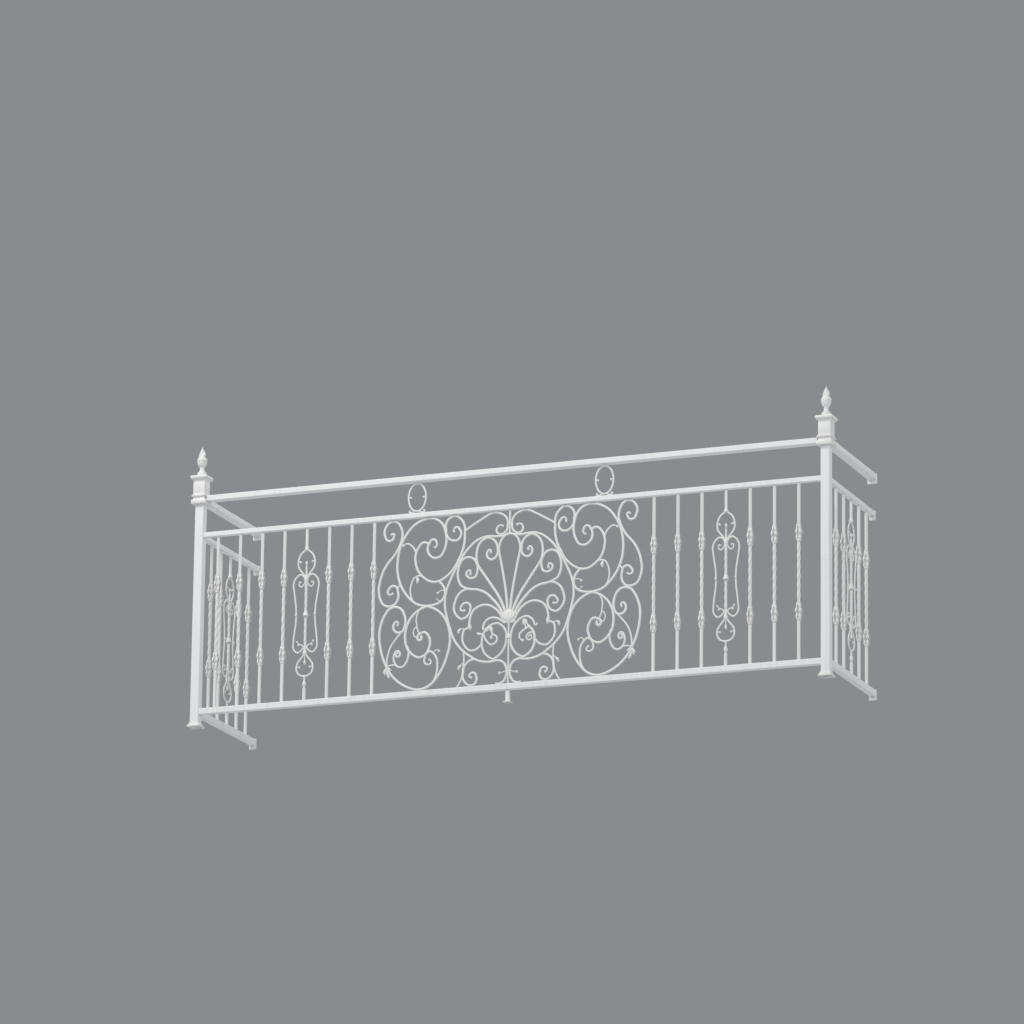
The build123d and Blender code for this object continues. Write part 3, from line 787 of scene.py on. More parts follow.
def line_mesh(name: str, lines: Iterable[Line]) -> Mesh:
    """Edges along lines, with a girth at each point.

    Args:
        name: the mesh's name.
        lines: the points of each line and its half widths, all in metres.

    Returns:
        A mesh of edges with a girth attribute.
    """
    points: list[Point3] = []
    edges: list[tuple[int, int]] = []
    widths: list[float] = []
    for line, girth in lines:
        first = len(points)
        points += list(line)
        widths += list(girth)
        edges += [(first + k, first + k + 1) for k in range(len(line) - 1)]
    mesh = bpy.data.meshes.new(name)
    mesh.from_pydata(points, edges, [])
    attribute = mesh.attributes.new("girth", "FLOAT", "POINT")
    attribute.data.foreach_set("value", widths)
    return mesh


# Finishes


def colour(red: float, green: float, blue: float) -> Colour:
    """An opaque colour."""
    return (red, green, blue, 1.0)


def weathering_and_shade_group() -> NodeTree:
    """Shader group: corner grime with painted shade, dust on ledges, rain streaks on upright faces.

    Returns:
        The node group.
    """
    tree, start, end = new_group(
        "weathering", "ShaderNodeTree",
        (TreeInput("Paint", "NodeSocketColor", colour(0.8, 0.8, 0.8)),
         TreeInput("Grime", "NodeSocketColor", colour(0.2, 0.19, 0.16)),
         number("Corner Shade And Grime", 0.5), number("Ledge Dust", 0.3), number("Streaks", 0.15),
         number("Reach", 0.012)),
        (TreeInput("Colour", "NodeSocketColor"), number("Dirt")))
    place = tree.node("ShaderNodeTexCoord")
    # Occlusion darkens corners and recesses: painted shade, mixed with real grime at joints.
    corner = tree.node("ShaderNodeAmbientOcclusion", samples=6)
    hollow = tree.share(0.75, 0.25)
    patch = tree.noise(34.0, 4.0, 0.6)
    patchy = tree.share(0.34, 0.66)
    corner_shade_mask = tree.math("MULTIPLY")
    corner_grime_and_shade_part = tree.math("MULTIPLY")
    facing = tree.node("ShaderNodeNewGeometry")
    split = tree.node("ShaderNodeSeparateXYZ")
    ledge = tree.share(0.45, 0.95)
    ledge_mask = tree.math("MULTIPLY")
    ledge_part = tree.math("MULTIPLY")
    tall = tree.node("ShaderNodeMapping", {"Scale": (95.0, 95.0, 3.2)})
    run = tree.noise(1.0, 5.0, 0.55)
    streak = tree.share(0.52, 0.78)
    streak_part = tree.math("MULTIPLY")
    first = tree.math("ADD")
    total = tree.math("ADD", use_clamp=True)
    mixed = tree.node("ShaderNodeMix", data_type="RGBA", blend_type="MIX")
    tree.wire(
        (start, "Reach", corner, "Distance"), (corner, "AO", hollow, "Value"),
        (place, "Object", patch, "Vector"), (patch, "Fac", patchy, "Value"),
        (hollow, "Result", corner_shade_mask, 0), (patchy, "Result", corner_shade_mask, 1),
        (corner_shade_mask, "Value", corner_grime_and_shade_part, 0), (start, "Corner Shade And Grime", corner_grime_and_shade_part, 1),
        (facing, "Normal", split, "Vector"), (split, "Z", ledge, "Value"),
        (ledge, "Result", ledge_mask, 0), (patchy, "Result", ledge_mask, 1),
        (ledge_mask, "Value", ledge_part, 0), (start, "Ledge Dust", ledge_part, 1),
        (place, "Object", tall, "Vector"), (tall, "Vector", run, "Vector"),
        (run, "Fac", streak, "Value"), (streak, "Result", streak_part, 0),
        (start, "Streaks", streak_part, 1), (corner_grime_and_shade_part, "Value", first, 0),
        (ledge_part, "Value", first, 1), (first, "Value", total, 0),
        (streak_part, "Value", total, 1), (total, "Value", mixed, "Factor"),
        (start, "Paint", mixed, "A"), (start, "Grime", mixed, "B"),
        (mixed, "Result", end, "Colour"), (total, "Value", end, "Dirt"))
    return tree.tree


def paint_skin_group() -> NodeTree:
    """Shader group: the fine relief of a coat of paint over metal, from smooth to sand cast.

    Returns:
        The node group.
    """
    tree, start, end = new_group(
        "paint_skin", "ShaderNodeTree",
        (number("Grain", 1.0), number("Sand", 0.3), number("Gloss", 0.35)),
        (number("Height"), number("Roughness")))
    place = tree.node("ShaderNodeTexCoord")
    peel = tree.noise(420.0, 2.0, 0.5)
    sand = tree.noise(1500.0, 3.0, 0.7)
    wide = tree.noise(22.0, 3.0, 0.5)
    peel_part = tree.math("MULTIPLY")
    height = tree.math("MULTIPLY_ADD")
    shift = tree.node("ShaderNodeMapRange", {"To Min": -0.07, "To Max": 0.09})
    rough = tree.math("ADD", use_clamp=True)
    for texture in (peel, sand, wide):
        tree.wire((place, "Object", texture, "Vector"))
    tree.wire(
        (peel, "Fac", peel_part, 0), (start, "Grain", peel_part, 1), (sand, "Fac", height, 0),
        (start, "Sand", height, 1), (peel_part, "Value", height, 2), (wide, "Fac", shift, "Value"),
        (start, "Gloss", rough, 0), (shift, "Result", rough, 1), (height, "Value", end, "Height"),
        (rough, "Value", end, "Roughness"))
    return tree.tree


@dataclass(frozen=True)
class PaintFinish:
    """White paint on aluminium, as one of the railing's kinds of metal wears it."""

    name: str
    slot: str
    paint: Colour
    # The grime colour tints dust, streaks and corners; in corners it is painted shade as well as
    # grime.
    grime_and_shade: Colour
    corner_grime: float
    ledge_dust: float
    streaks: float
    reach: float
    grain: float
    sand: float
    gloss: float
    relief: float

    def build(self, weathering: NodeTree, skin: NodeTree) -> Material:
        """Make the material.

        Args:
            weathering: the shared group of grime and painted shade in corners, dust and streaks.
            skin: the shared group of the coat's relief.

        Returns:
            The material, its patterns fixed to the object.
        """
        material = bpy.data.materials.new(self.name)
        material.use_nodes = True
        tree = Tree(material.node_tree)
        shader = material.node_tree.nodes["Principled BSDF"]
        shader.inputs["IOR"].default_value = 1.48
        shader.inputs["Metallic"].default_value = 0.0
        dirt_and_shade = tree.node("ShaderNodeGroup", node_tree=weathering)
        coat = tree.node("ShaderNodeGroup", node_tree=skin)
        tone = tree.noise(5.0, 3.0, 0.55)
        place = tree.node("ShaderNodeTexCoord")
        shade = tree.node("ShaderNodeMix", data_type="RGBA", blend_type="MIX")
        shade.inputs["A"].default_value = self.paint
        shade.inputs["B"].default_value = tuple(0.95 * part for part in self.paint[:3]) + (1.0,)
        for key, value in (("Grime", self.grime_and_shade), ("Corner Shade And Grime", self.corner_grime),
                           ("Ledge Dust", self.ledge_dust), ("Streaks", self.streaks),
                           ("Reach", self.reach)):
            dirt_and_shade.inputs[key].default_value = value
        for key, value in (("Grain", self.grain), ("Sand", self.sand), ("Gloss", self.gloss)):
            coat.inputs[key].default_value = value
        rough = tree.math("MULTIPLY_ADD", {1: 0.35})
        bump = tree.node("ShaderNodeBump", {"Strength": 0.35, "Distance": self.relief})
        tree.wire(
            (place, "Object", tone, "Vector"), (tone, "Fac", shade, "Factor"),
            (shade, "Result", dirt_and_shade, "Paint"), (dirt_and_shade, "Colour", shader, "Base Color"),
            (dirt_and_shade, "Dirt", rough, 0), (coat, "Roughness", rough, 2),
            (rough, "Value", shader, "Roughness"), (coat, "Height", bump, "Height"),
            (bump, "Normal", shader, "Normal"))
        return material


class Finish(Enum):
    """The finishes of the railing."""

    # Each finish's corner grime amount also sets how much shade is painted into corners and
    # recesses.
    EXTRUDED = PaintFinish("satin_white_extrusion", "white_paint", colour(0.88, 0.89, 0.89),
                           colour(0.30, 0.285, 0.25), 0.45, 0.20, 0.16, 0.010, 1.0, 0.15, 0.34,
                           0.00025)
    CAST = PaintFinish("white_casting", "white_paint", colour(0.84, 0.84, 0.82),
                       colour(0.24, 0.22, 0.18), 0.75, 0.26, 0.10, 0.008, 0.8, 0.6, 0.42, 0.0004)


# Pieces


class Workshop:
    """Keeps the shared node groups and finishes, and turns meshes into pieces of the railing."""

    def __init__(self) -> None:
        """Build the shared groups and materials."""
        weathering = weathering_and_shade_group()
        skin = paint_skin_group()
        self.materials = {finish: finish.value.build(weathering, skin) for finish in Finish}
        self.swept_bar = swept_bar_tree()
        self.beads = bead_tree()
        self.twisted_bar = twisted_bar_tree()
        self.ring_of_copies = ring_of_copies_tree()

    def piece(self, name: str, mesh: Mesh, finish: Finish, *nodes: str) -> None:
        """Add a finished piece that stands for CAD nodes.

        Args:
            name: the piece's name.
            mesh: its mesh, in place.
            finish: its finish.
            nodes: the CAD nodes that it replaces.
        """
        mesh.name = name
        mesh.materials.clear()
        mesh.materials.append(self.materials[finish])
        mesh.polygons.foreach_set("material_index", [0] * len(mesh.polygons))
        for attribute in [a for a in mesh.attributes if a.name == "girth"]:
            mesh.attributes.remove(attribute)
        piece = bpy.data.objects.new(name, mesh)
        bpy.context.scene.collection.objects.link(piece)
        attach(piece, ROOT)
        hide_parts(*nodes)
        LOG.info("%s: %d faces, stands for %s", name, len(mesh.polygons), ", ".join(nodes))

    def keep(self, node: str, finish: Finish) -> None:
        """Give a carried-over CAD node its finish.

        Args:
            node: the node's name.
            finish: its finish.
        """
        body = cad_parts[node]
        body.data.materials.clear()
        body.data.materials.append(self.materials[finish])
        LOG.info("%s: kept with finish %s", node, finish.value.name)

    def swept(self, name: str, lines: Iterable[Line], depth_ratio: float = 1.15) -> Mesh:
        """Bars swept along lines."""
        return grown(name, line_mesh(name, lines), self.swept_bar, Depth_Ratio=depth_ratio,
                     Sides=10, Finish=self.materials[Finish.CAST])

    def beaded(self, name: str, beads: Sequence[tuple[Point3, float]]) -> Mesh:
        """Beads on points."""
        lines = [([place], [radius]) for place, radius in beads]
        return grown(name, line_mesh(name, lines), self.beads, Rings=7,
                     Finish=self.materials[Finish.CAST])

    def scroll_group(self, name: str, scrolls: Sequence[Scroll], sides: Sequence[int]) -> Mesh:
        """Mesh of a group of scrolls in the XZ plane, about the line x = 0.

        Args:
            name: the mesh's name.
            scrolls: the bars, drawn for one side.
            sides: 1 to keep a bar as drawn, -1 to mirror it.

        Returns:
            Bars, beads and leaves in one mesh.
        """
        lines, beads = [], []
        for scroll in scrolls:
            line = scroll_line(scroll)
            half_widths = [g * MM for g in girths(scroll, line)]
            for side in sides:
                places = [(side * x * MM, 0.0, level(z)) for x, z in line]
                lines.append((places, half_widths))
                for tip, place in ((scroll.start, places[0]), (scroll.finish, places[-1])):
                    if tip is Tip.BEAD:
                        beads.append((place, scroll.bead * MM))
        return joined(name, self.swept(name + "_bars", lines), self.beaded(name + "_beads", beads))

    def turned(self, name: str, profile: Sequence[Point2], steps: int,
               lobes: Callable[[float, float], float] | None = None) -> Mesh:
        """A turned body.

        Args:
            name: the mesh's name.
            profile: radius and height of each level, in millimetres, from the bottom up.
            steps: points around it.
            lobes: factor on the radius at an angle and a height in millimetres.

        Returns:
            The closed mesh about the upright axis.
        """
        rings = []
        for radius, z in profile:
            ring = []
            for k in range(steps):
                angle = 2 * math.pi * k / steps
                reach = max(radius, 0.05) * MM * (lobes(angle, z) if lobes else 1.0)
                ring.append((reach * math.cos(angle), reach * math.sin(angle), z * MM))
            rings.append(ring)
        return skinned(name, rings)

    def leaf(self, name: str, base: Point2, tip: Point2, bulge: float, width: float,
             thick: float) -> Mesh:
        """A pointed leaf that lies against an upright body, on the side of +X.

        Args:
            name: the mesh's name.
            base: distance from the axis and height of its foot, in millimetres.
            tip: the same for its tip.
            bulge: how far it bows outwards between them, in millimetres.
            width: its full width, in millimetres.
            thick: its thickness, in millimetres.

        Returns:
            The closed leaf.
        """
        rings = []
        steps, around = 8, 8
        for k in range(steps + 1):
            t = k / steps
            out = base[0] + (tip[0] - base[0]) * t + bulge * math.sin(math.pi * t ** 0.9)
            z = base[1] + (tip[1] - base[1]) * t
            half = max(0.25, width / 2 * math.sin(math.pi * (0.16 + 0.84 * t) ** 1.15))
            ring = []
            for j in range(around):
                angle = 2 * math.pi * j / around
                side = half * math.cos(angle)
                rib = thick / 2 * math.sin(angle) * (0.35 + 0.65 * abs(math.sin(angle)))
                drop = 0.035 * side * side
                ring.append(((out + rib - drop) * MM, side * MM, z * MM))
            rings.append(ring)
        return skinned(name, rings)


@dataclass
class Dressing:
    """A part of the railing whose pieces come from the workshop."""

    shop: Workshop

    def put(self, name: str, mesh: Mesh, place: Matrix, node: str,
            finish: Finish = Finish.CAST) -> None:
        """Place a mesh, and add it as the piece that stands for a node."""
        mesh.transform(place)
        self.shop.piece(name, mesh, finish, node)


@dataclass
class CornerPost(Dressing):
    """Dressing of one corner post: shoe, collar, pedestal with its capital, and finial."""

    side: str
    joint_mm: float = 507.0            # level of the fine joint round the shaft
    rail_middle_mm: float = 12.5       # from the collar's top down to the handrails' middle
    stub: Point2 = (0.0194, 0.0119)    # half width and half height of a handrail's stub
    pedestal_mm: float = 28.2          # half width of the pedestal, and of its plinth
    plinth_mm: float = 33.0
    cup_mm: float = 46.0               # where the cup's petals begin, and the level of its rim
    rim_mm: float = 83.0

    def node(self, part: str) -> str:
        """Name of one of the post's CAD nodes."""
        return f"{self.side}_post_{part}" if part else f"{self.side}_post"

    def standing(self, node: str) -> Matrix:
        """Matrix that stands a mesh on the lowest level of a node, on the post's axis."""
        post = middle(self.node(""))
        return at(post.x, post.y, low(node).z)

    def size(self, part: str) -> Vector:
        """Size of one of the post's nodes, in millimetres."""
        return (high(self.node(part)) - low(self.node(part))) / MM

    def shaft(self) -> None:
        """The square tube of the post, with the fine joint that shows half way up."""
        size = self.size("")
        half, tall = size.x / 2, size.z
        joint = self.joint_mm
        profile = [(half - 0.6, 2.0), (half, 2.8), (half, joint - 1.0), (half - 0.6, joint - 0.4),
                   (half - 0.6, joint + 0.4), (half, joint + 1.0), (half, tall - 0.8),
                   (half - 0.6, tall)]
        self.put(f"{self.side}_post_shaft", square_casting("shaft", profile, 3.0),
                 self.standing(self.node("")), self.node(""), Finish.EXTRUDED)

    def shoe(self) -> None:
        """The cast shoe at the foot, flared, with a rounded lip."""
        size = self.size("shoe")
        half, tall = size.x / 2, size.z
        neck = self.size("").x / 2 + 0.6
        profile = [(half - 1.2, 0.0), (half, 1.2), (half, 7.0), (half - 1.0, 8.6)]
        profile += bow((half - 1.0, 8.6), (neck + 2.4, tall - 1.6), -0.13)
        profile += [(neck + 1.6, tall - 0.4), (neck, tall)]
        self.add("shoe", profile, 3.0)

    def collar(self) -> None:
        """The cast collar that takes the ends of the handrails, with its groove."""
        size = self.size("collar")
        half, tall = size.x / 2, size.z
        profile = [(half - 2.4, 0.0), (half - 0.8, 0.5), (half, 1.8), (half, tall - 19.4),
                   (half - 1.0, tall - 18.0), (half - 5.2, tall - 17.0)]
        profile += bow((half - 5.2, tall - 17.0), (half - 5.6, tall - 4.2), -0.12, 5)
        profile += [(half - 1.6, tall - 3.4), (half - 1.0, tall - 2.4), (half - 1.2, tall - 0.6),
                    (half - 2.0, tall)]
        self.add("collar", profile, 2.4, self.sockets(half, tall))

    def sockets(self, half: float, tall: float) -> list[Placed]:
        """The stubs on the collar that the two handrails are pushed over and welded to.

        Args:
            half: half width of the collar, in millimetres.
            tall: its height, in millimetres.

        Returns:
            One stub, twice, each with the matrix that turns it to its rail.
        """
        wide, high_half = self.stub
        outline = [(x * wide, y * high_half) for x, y, _ in rounded_square(1.0, 0.14, 0.0)]
        rings = []
        for grow, reach in ((0.94, half - 8.0), (0.94, half - 0.6), (1.02, half - 0.5),
                            (1.07, half + 0.4), (1.06, half + 1.2), (1.0, half + 2.2)):
            rings.append([(x * grow, y * grow, reach * MM) for x, y in outline])
        stub = skinned("stub", rings)
        height = (tall - self.rail_middle_mm) * MM
        upright = at(0, 0, height) @ Matrix.Rotation(-math.pi / 2, 4, "X")
        turn = math.pi / 2 if self.side == "left" else -math.pi / 2
        return [(stub, upright), (stub, Matrix.Rotation(-turn, 4, "Z") @ upright)]

    def capital(self) -> None:
        """The pedestal on the collar, its coves and the capital's plate."""
        size = self.size("capital")
        half, tall = size.x / 2, size.z
        body, foot = self.pedestal_mm, self.plinth_mm
        profile = [(foot - 0.7, 0.0), (foot, 0.7), (foot, 3.4), (foot - 0.7, 4.4)]
        profile += bow((foot - 0.7, 4.4), (body, 15.0), -0.18, 7)
        profile += [(body, tall - 38.0)]
        profile += bow((body, tall - 38.0), (half - 4.6, tall - 18.4), -0.18, 9)
        profile += [(half - 3.0, tall - 18.0), (half - 2.8, tall - 16.2), (half - 1.4, tall - 15.6)]
        profile += bow((half - 1.4, tall - 15.6), (half - 2.2, tall - 3.6), 0.13, 6)
        profile += bow((half - 2.2, tall - 3.6), (26.0, tall - 0.8), 0.04, 4)
        profile += [(24.0, tall - 0.4), (22.5, tall)]
        self.add("capital", profile, 2.2)

    def finial(self) -> None:
        """The flame finial: flared foot, neck, cup and a flame with turning flutes."""
        tall = self.size("finial").z
        rim = self.rim_mm
        profile = [(19.6, 0.0), (20.5, 0.9), (20.5, 12.0), (19.8, 14.4)]
        profile += bow((19.8, 14.4), (10.4, 34.0), -0.15, 8)
        profile += [(10.2, 36.2), (11.0, 37.4), (10.6, 38.8)]
        profile += bow((10.6, 38.8), (22.8, 65.0), 0.09, 8)
        profile += bow((22.8, 65.0), (18.4, rim - 1.0), 0.16, 6)
        profile += [(17.6, rim - 0.2), (16.6, rim + 0.8)]
        profile += bow((16.6, rim + 0.8), (2.8, tall - 7.0), 0.08, 24)
        profile += [(2.0, tall - 3.4), (1.1, tall - 1.0), (0.3, tall)]

        def flutes(angle: float, z: float) -> float:
            """Petals on the cup, and a flame whose flutes turn as they rise to its tip.

            Args:
                angle: direction from the axis, in radians.
                z: height above the finial's foot, in millimetres.

            Returns:
                The factor on the radius there.
            """
            if z <= rim:
                part = min(1.0, max(0.0, (z - self.cup_mm) / (rim - self.cup_mm)))
                return 1.0 - 0.06 * math.sin(math.pi * part) * abs(math.sin(3 * angle)) ** 0.5
            part = (z - rim) / (tall - rim)
            depth = 0.27 * min(1.0, 7 * part) * (1 - part) ** 0.35
            turn = 3 * (angle - 2.6 * part)
            return 1.0 - depth * abs(math.cos(turn / 2)) ** 3

        self.put(f"{self.side}_flame_finial", self.shop.turned("flame", profile, 40, flutes),
                 self.standing(self.node("finial")), self.node("finial"))

    def add(self, part: str, profile: Sequence[Point2], corner: float,
            beside: Sequence[Placed] = ()) -> None:
        """Add one square casting that stands for a node.

        Args:
            part: which of the post's nodes.
            profile: half width and height of each level, in millimetres.
            corner: radius of the upright edges, in millimetres.
            beside: other bodies that belong to the piece.
        """
        mesh = square_casting(part, profile, corner)
        if beside:
            mesh = joined(part, mesh, *beside)
        node = self.node(part)
        self.put(f"{self.side}_{part}_casting", mesh, self.standing(node), node)

    def build(self) -> None:
        """Make every piece of the post."""
        self.shaft()
        self.shoe()
        self.collar()
        self.capital()
        self.finial()


@dataclass
class PlainBaluster(Dressing):
    """A square bar, twisted between two cast knuckles of leaves."""

    width: float = 0.012
    turns: float = 1.6
    lower_mm: float = 216.0            # levels of the two knuckles
    upper_mm: float = 563.0
    plain_mm: float = 40.0             # the bar stays straight this far from their middles

    def knuckle(self) -> Mesh:
        """One knuckle about its widest level.

        Returns:
            A lobed core with three rings of leaves and two of buds.
        """
        def lobes(angle: float, z: float) -> float:
            """Hollows in the middle of each face, where the leaves leave the core bare."""
            fade = max(0.0, math.cos(math.pi * z / 80.0))
            return 1.0 - 0.20 * fade * (0.5 + 0.5 * math.cos(4 * angle))

        core = self.shop.turned("knuckle_core", KNUCKLE_CORE, 24, lobes)
        rings = [core]
        for name, base, tip, bulge, width, thick, turn in KNUCKLE_LEAVES:
            leaf = self.shop.leaf(name, base, tip, bulge, width, thick)
            rings.append(grown(leaf.name + "_ring", leaf, self.shop.ring_of_copies, Count=4,
                               First_Turn=math.radians(turn),
                               Finish=self.shop.materials[Finish.CAST]))
        return joined("knuckle", *rings)

    def mesh(self) -> Mesh:
        """The whole baluster on the origin's axis.

        Returns:
            The twisted bar at its real height, its knuckles, and a weld at each end.
        """
        length = INFILL_HIGH - INFILL_LOW
        seed = line_mesh("foot_point", [([(0.0, 0.0, INFILL_LOW)], [1.0])])
        bar = grown("bar", seed, self.shop.twisted_bar, Width=self.width, Length=length,
                    Corner=BAR_CORNER,
                    Twist_Start=(self.lower_mm + self.plain_mm) / DRAWN_HEIGHT_MM,
                    Twist_End=(self.upper_mm - self.plain_mm) / DRAWN_HEIGHT_MM,
                    Turns=self.turns, Segments=90, Finish=self.shop.materials[Finish.CAST])
        knuckle = self.knuckle()
        weld = square_casting("weld", ((8.0, 0.0), (7.6, 0.7), (6.7, 1.5), (6.1, 2.6)), 2.6)
        return joined("baluster", bar, *((knuckle, at(0, 0, level(drawn)))
                                         for drawn in (self.lower_mm, self.upper_mm)),
                      (weld, at(0, 0, INFILL_LOW)),
                      (weld, at(0, 0, INFILL_HIGH) @ Matrix.Diagonal((1, 1, -1, 1))))


@dataclass
class Infill(Dressing):
    """The balusters of the front and of the returns."""

    return_places: int = 5                          # balusters along a return
    plain_places: tuple[int, ...] = (0, 1, 3, 4)    # the ornamental one takes the middle

    def build(self) -> None:
        """Make every plain and ornamental baluster."""
        baluster = PlainBaluster(self.shop).mesh()
        for node in sorted(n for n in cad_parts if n.startswith("front_baluster_")):
            self.stand(node.replace("front_", "twisted_"), baluster, [middle(node)], node)
        for side in ("left", "right"):
            node = f"{side}_return_balusters"
            self.stand(f"{side}_return_twisted_balusters", baluster, self.places(node), node)
        ornate = self.ornate_mesh()
        for side in ("left", "right"):
            for run, node, turn in (("", f"ornate_baluster_{side}", 0.0),
                                    ("_return", f"{side}_return_ornate_baluster", math.pi / 2)):
                place = at(middle(node).x, middle(node).y, 0)
                self.put(f"{side}{run}_lyre_baluster", ornate.copy(),
                         place @ Matrix.Rotation(turn, 4, "Z"), node)

    def stand(self, name: str, baluster: Mesh, places: Sequence[Vector], node: str) -> None:
        """Stand copies of the baluster at places, as one piece for a node."""
        mesh = joined(name, *((baluster, at(p.x, p.y, 0)) for p in places))
        self.put(name, mesh, Matrix(), node)

    def places(self, node: str) -> list[Vector]:
        """Where the plain balusters of a return stand.

        Args:
            node: the CAD node that holds them.

        Returns:
            A place on the ground for each, from the post to the wall.
        """
        box = low(node), high(node)
        half = (high("front_baluster_left_1").y - low("front_baluster_left_1").y) / 2
        first, last = box[0].y + half, box[1].y - half
        x = (box[0].x + box[1].x) / 2
        step = self.return_places - 1
        return [Vector((x, first + (last - first) * k / step, 0)) for k in self.plain_places]

    def ornate_mesh(self) -> Mesh:
        """The ornamental baluster on the origin's axis.

        Returns:
            Its bars and knobs, the lyre between two drop-shaped rings, curls and beads.
        """
        shop = self.shop
        parts = []
        for bottom, top, width, turns in ORNATE_BARS:
            seed = line_mesh("bar_foot", [([(0.0, 0.0, level(bottom))], [1.0])])
            parts.append(grown("ornate_bar", seed, shop.twisted_bar, Width=width * MM,
                               Length=(top - bottom) * MM * RISE, Corner=BAR_CORNER,
                               Twist_Start=0.1, Twist_End=0.9, Turns=turns, Segments=50,
                               Finish=shop.materials[Finish.CAST]))
        for height, profile in ORNATE_KNOBS:
            knob = shop.turned("knob", sorted(profile, key=lambda entry: entry[1]), 16)
            parts.append((knob, at(0, 0, level(height))))
        beads = shop.beaded("lyre_beads", [((side * 45 * MM, -3.0 * MM, level(387)), 6.0 * MM)
                                          for side in (-1, 1)])
        group = shop.scroll_group("lyre", LYRE_SCROLLS, (1, -1))
        return joined("ornate", group, beads, *parts)


@dataclass
class ScrollPanel(Dressing):
    """The scrollwork in the middle of the front, and the rings above it."""

    knot_mm: Point2 = (-567.0, 120.0)   # where the twigs meet at the foot of a side group
    hub_mm: float = 300.0               # levels of the hub, its petals, the sleeve and the rosette
    petals_mm: float = 279.0
    sleeve_mm: float = 212.0
    rosette_mm: float = 712.0
    leans: tuple[int, ...] = (-50, -25, 0, 25, 50)      # of the petals, in degrees
    ring_bar: float = 3.5 * MM          # half widths of an oval ring's bar and feet
    ring_foot: float = 2.7 * MM
    ring_rise: float = 0.010            # from the mid-rail up to the oval's line
    ring_drop: float = 0.0034           # and from the ring's top down to it
    ring_points: int = 48
    side_bead: Point2 = (0.0105, 0.0052)    # how far inside the line, and radius

    def sides(self) -> None:
        """The two side groups of big scrolls."""
        for side, sign in (("left", 1), ("right", -1)):
            mesh = self.shop.scroll_group(f"{side}_scrolls", SIDE_SCROLLS, (sign,))
            across, height = self.knot_mm
            knot = self.shop.beaded("knot", [((sign * across * MM, 0, level(height)), 6.4 * MM)])
            self.put(f"{side}_scroll_group", joined(f"{side}_scrolls", mesh, knot),
                     at(PANEL_X, 0, 0), f"scrollwork_{side}")

    def fan(self) -> None:
        """The fan, its arch and crown, the stem, the hub and the rosette."""
        shop = self.shop
        stem = [(0, 0, level(0.0)), (0, 0, level(100.0)), (0, 0, level(284.0))]
        crown = [(0, 0, level(674.0)), (0, 0, level(700.0)), (0, 0, level(DRAWN_HEIGHT_MM))]
        hub = shop.turned("hub", HUB, 32)
        parts = [shop.scroll_group("fan", FAN_SCROLLS, (1, -1)),
                 shop.scroll_group("left_volute", LEFT_VOLUTE, (1,)),
                 shop.scroll_group("right_volute", RIGHT_VOLUTE, (-1,)),
                 shop.swept("stems", ((stem, [4.0 * MM] * 3), (crown, [4.6 * MM] * 3)), 1.0),
                 (hub, at(0, 0, level(self.hub_mm)) @ Matrix.Diagonal((1, 0.21, 1, 1)))]
        petal = shop.leaf("petal", (6.0, 0.0), (4.4, 43.0), 2.6, 12.5, 4.2)
        for face in (90.0, -90.0):
            turned = Matrix.Rotation(math.radians(face), 4, "Z")
            for lean in self.leans:
                fanned = Matrix.Rotation(math.radians(lean), 4, "Y")
                parts.append((petal, at(0, 0, level(self.petals_mm)) @ fanned @ turned))
        sleeve = shop.turned("sleeve", SLEEVE, 28)
        flat = Matrix.Diagonal((1, 0.5, 1, 1))
        parts.append((sleeve, at(0, 0, level(self.sleeve_mm)) @ flat))
        heart = level(self.rosette_mm)
        beads = [((0.0, 0.0, heart), 6.5 * MM)]
        for k in range(6):
            turn = math.pi * k / 3 + math.pi / 6
            place = (9.0 * MM * math.cos(turn), 0.0, heart + 9.0 * MM * math.sin(turn))
            beads.append((place, 4.4 * MM))
        parts.append(shop.beaded("rosette", beads))
        self.put("fan_scroll_group", joined("fan_panel", *parts), at(PANEL_X, 0, 0),
                 "scrollwork_fan")

    def rings(self) -> None:
        """The oval rings between handrail and mid-rail, with their feet and beads."""
        for side in ("left", "right"):
            node = f"handrail_ring_{side}"
            base, top, centre = low(node).z, high(node).z, middle(node)
            half_wide = (high(node).x - low(node).x) / 2 - self.ring_bar
            tall = (top - base - self.ring_rise) / 2 - self.ring_drop
            mid_z = base + self.ring_rise + tall
            turns = [2 * math.pi * k / self.ring_points for k in range(self.ring_points + 1)]
            oval = [(half_wide * math.cos(turn), 0.0, mid_z + tall * math.sin(turn))
                    for turn in turns]
            feet = []
            for sign in (-1, 1):
                curl = scroll_line(Scroll(((10, 12), (22, 4.5), (33, 5.5), (37, 10.5), (32, 13))))
                feet.append(([(sign * x * MM, 0.0, base + z * MM) for x, z in curl],
                             [self.ring_foot] * len(curl)))
            bars = self.shop.swept("ring_bars", [(oval, [self.ring_bar] * len(oval))] + feet)
            inside, radius = self.side_bead
            beads = [((sign * (half_wide - inside), 0.0, mid_z), radius) for sign in (-1, 1)]
            beads += [((sign * 32 * MM, 0.0, base + 13 * MM), 3.4 * MM) for sign in (-1, 1)]
            stalks = self.shop.swept("ring_stalks", [
                ([(sign * half_wide, 0.0, mid_z), (sign * (half_wide - 0.010), 0.0, mid_z)],
                 [2.4 * MM] * 2) for sign in (-1, 1)])
            mesh = joined("ring", bars, self.shop.beaded("ring_beads", beads), stalks)
            self.put(f"{side}_handrail_ring", mesh, at(centre.x, 0, 0), node)

    def build(self) -> None:
        """Make the panel and the rings."""
        self.sides()
        self.fan()
        self.rings()


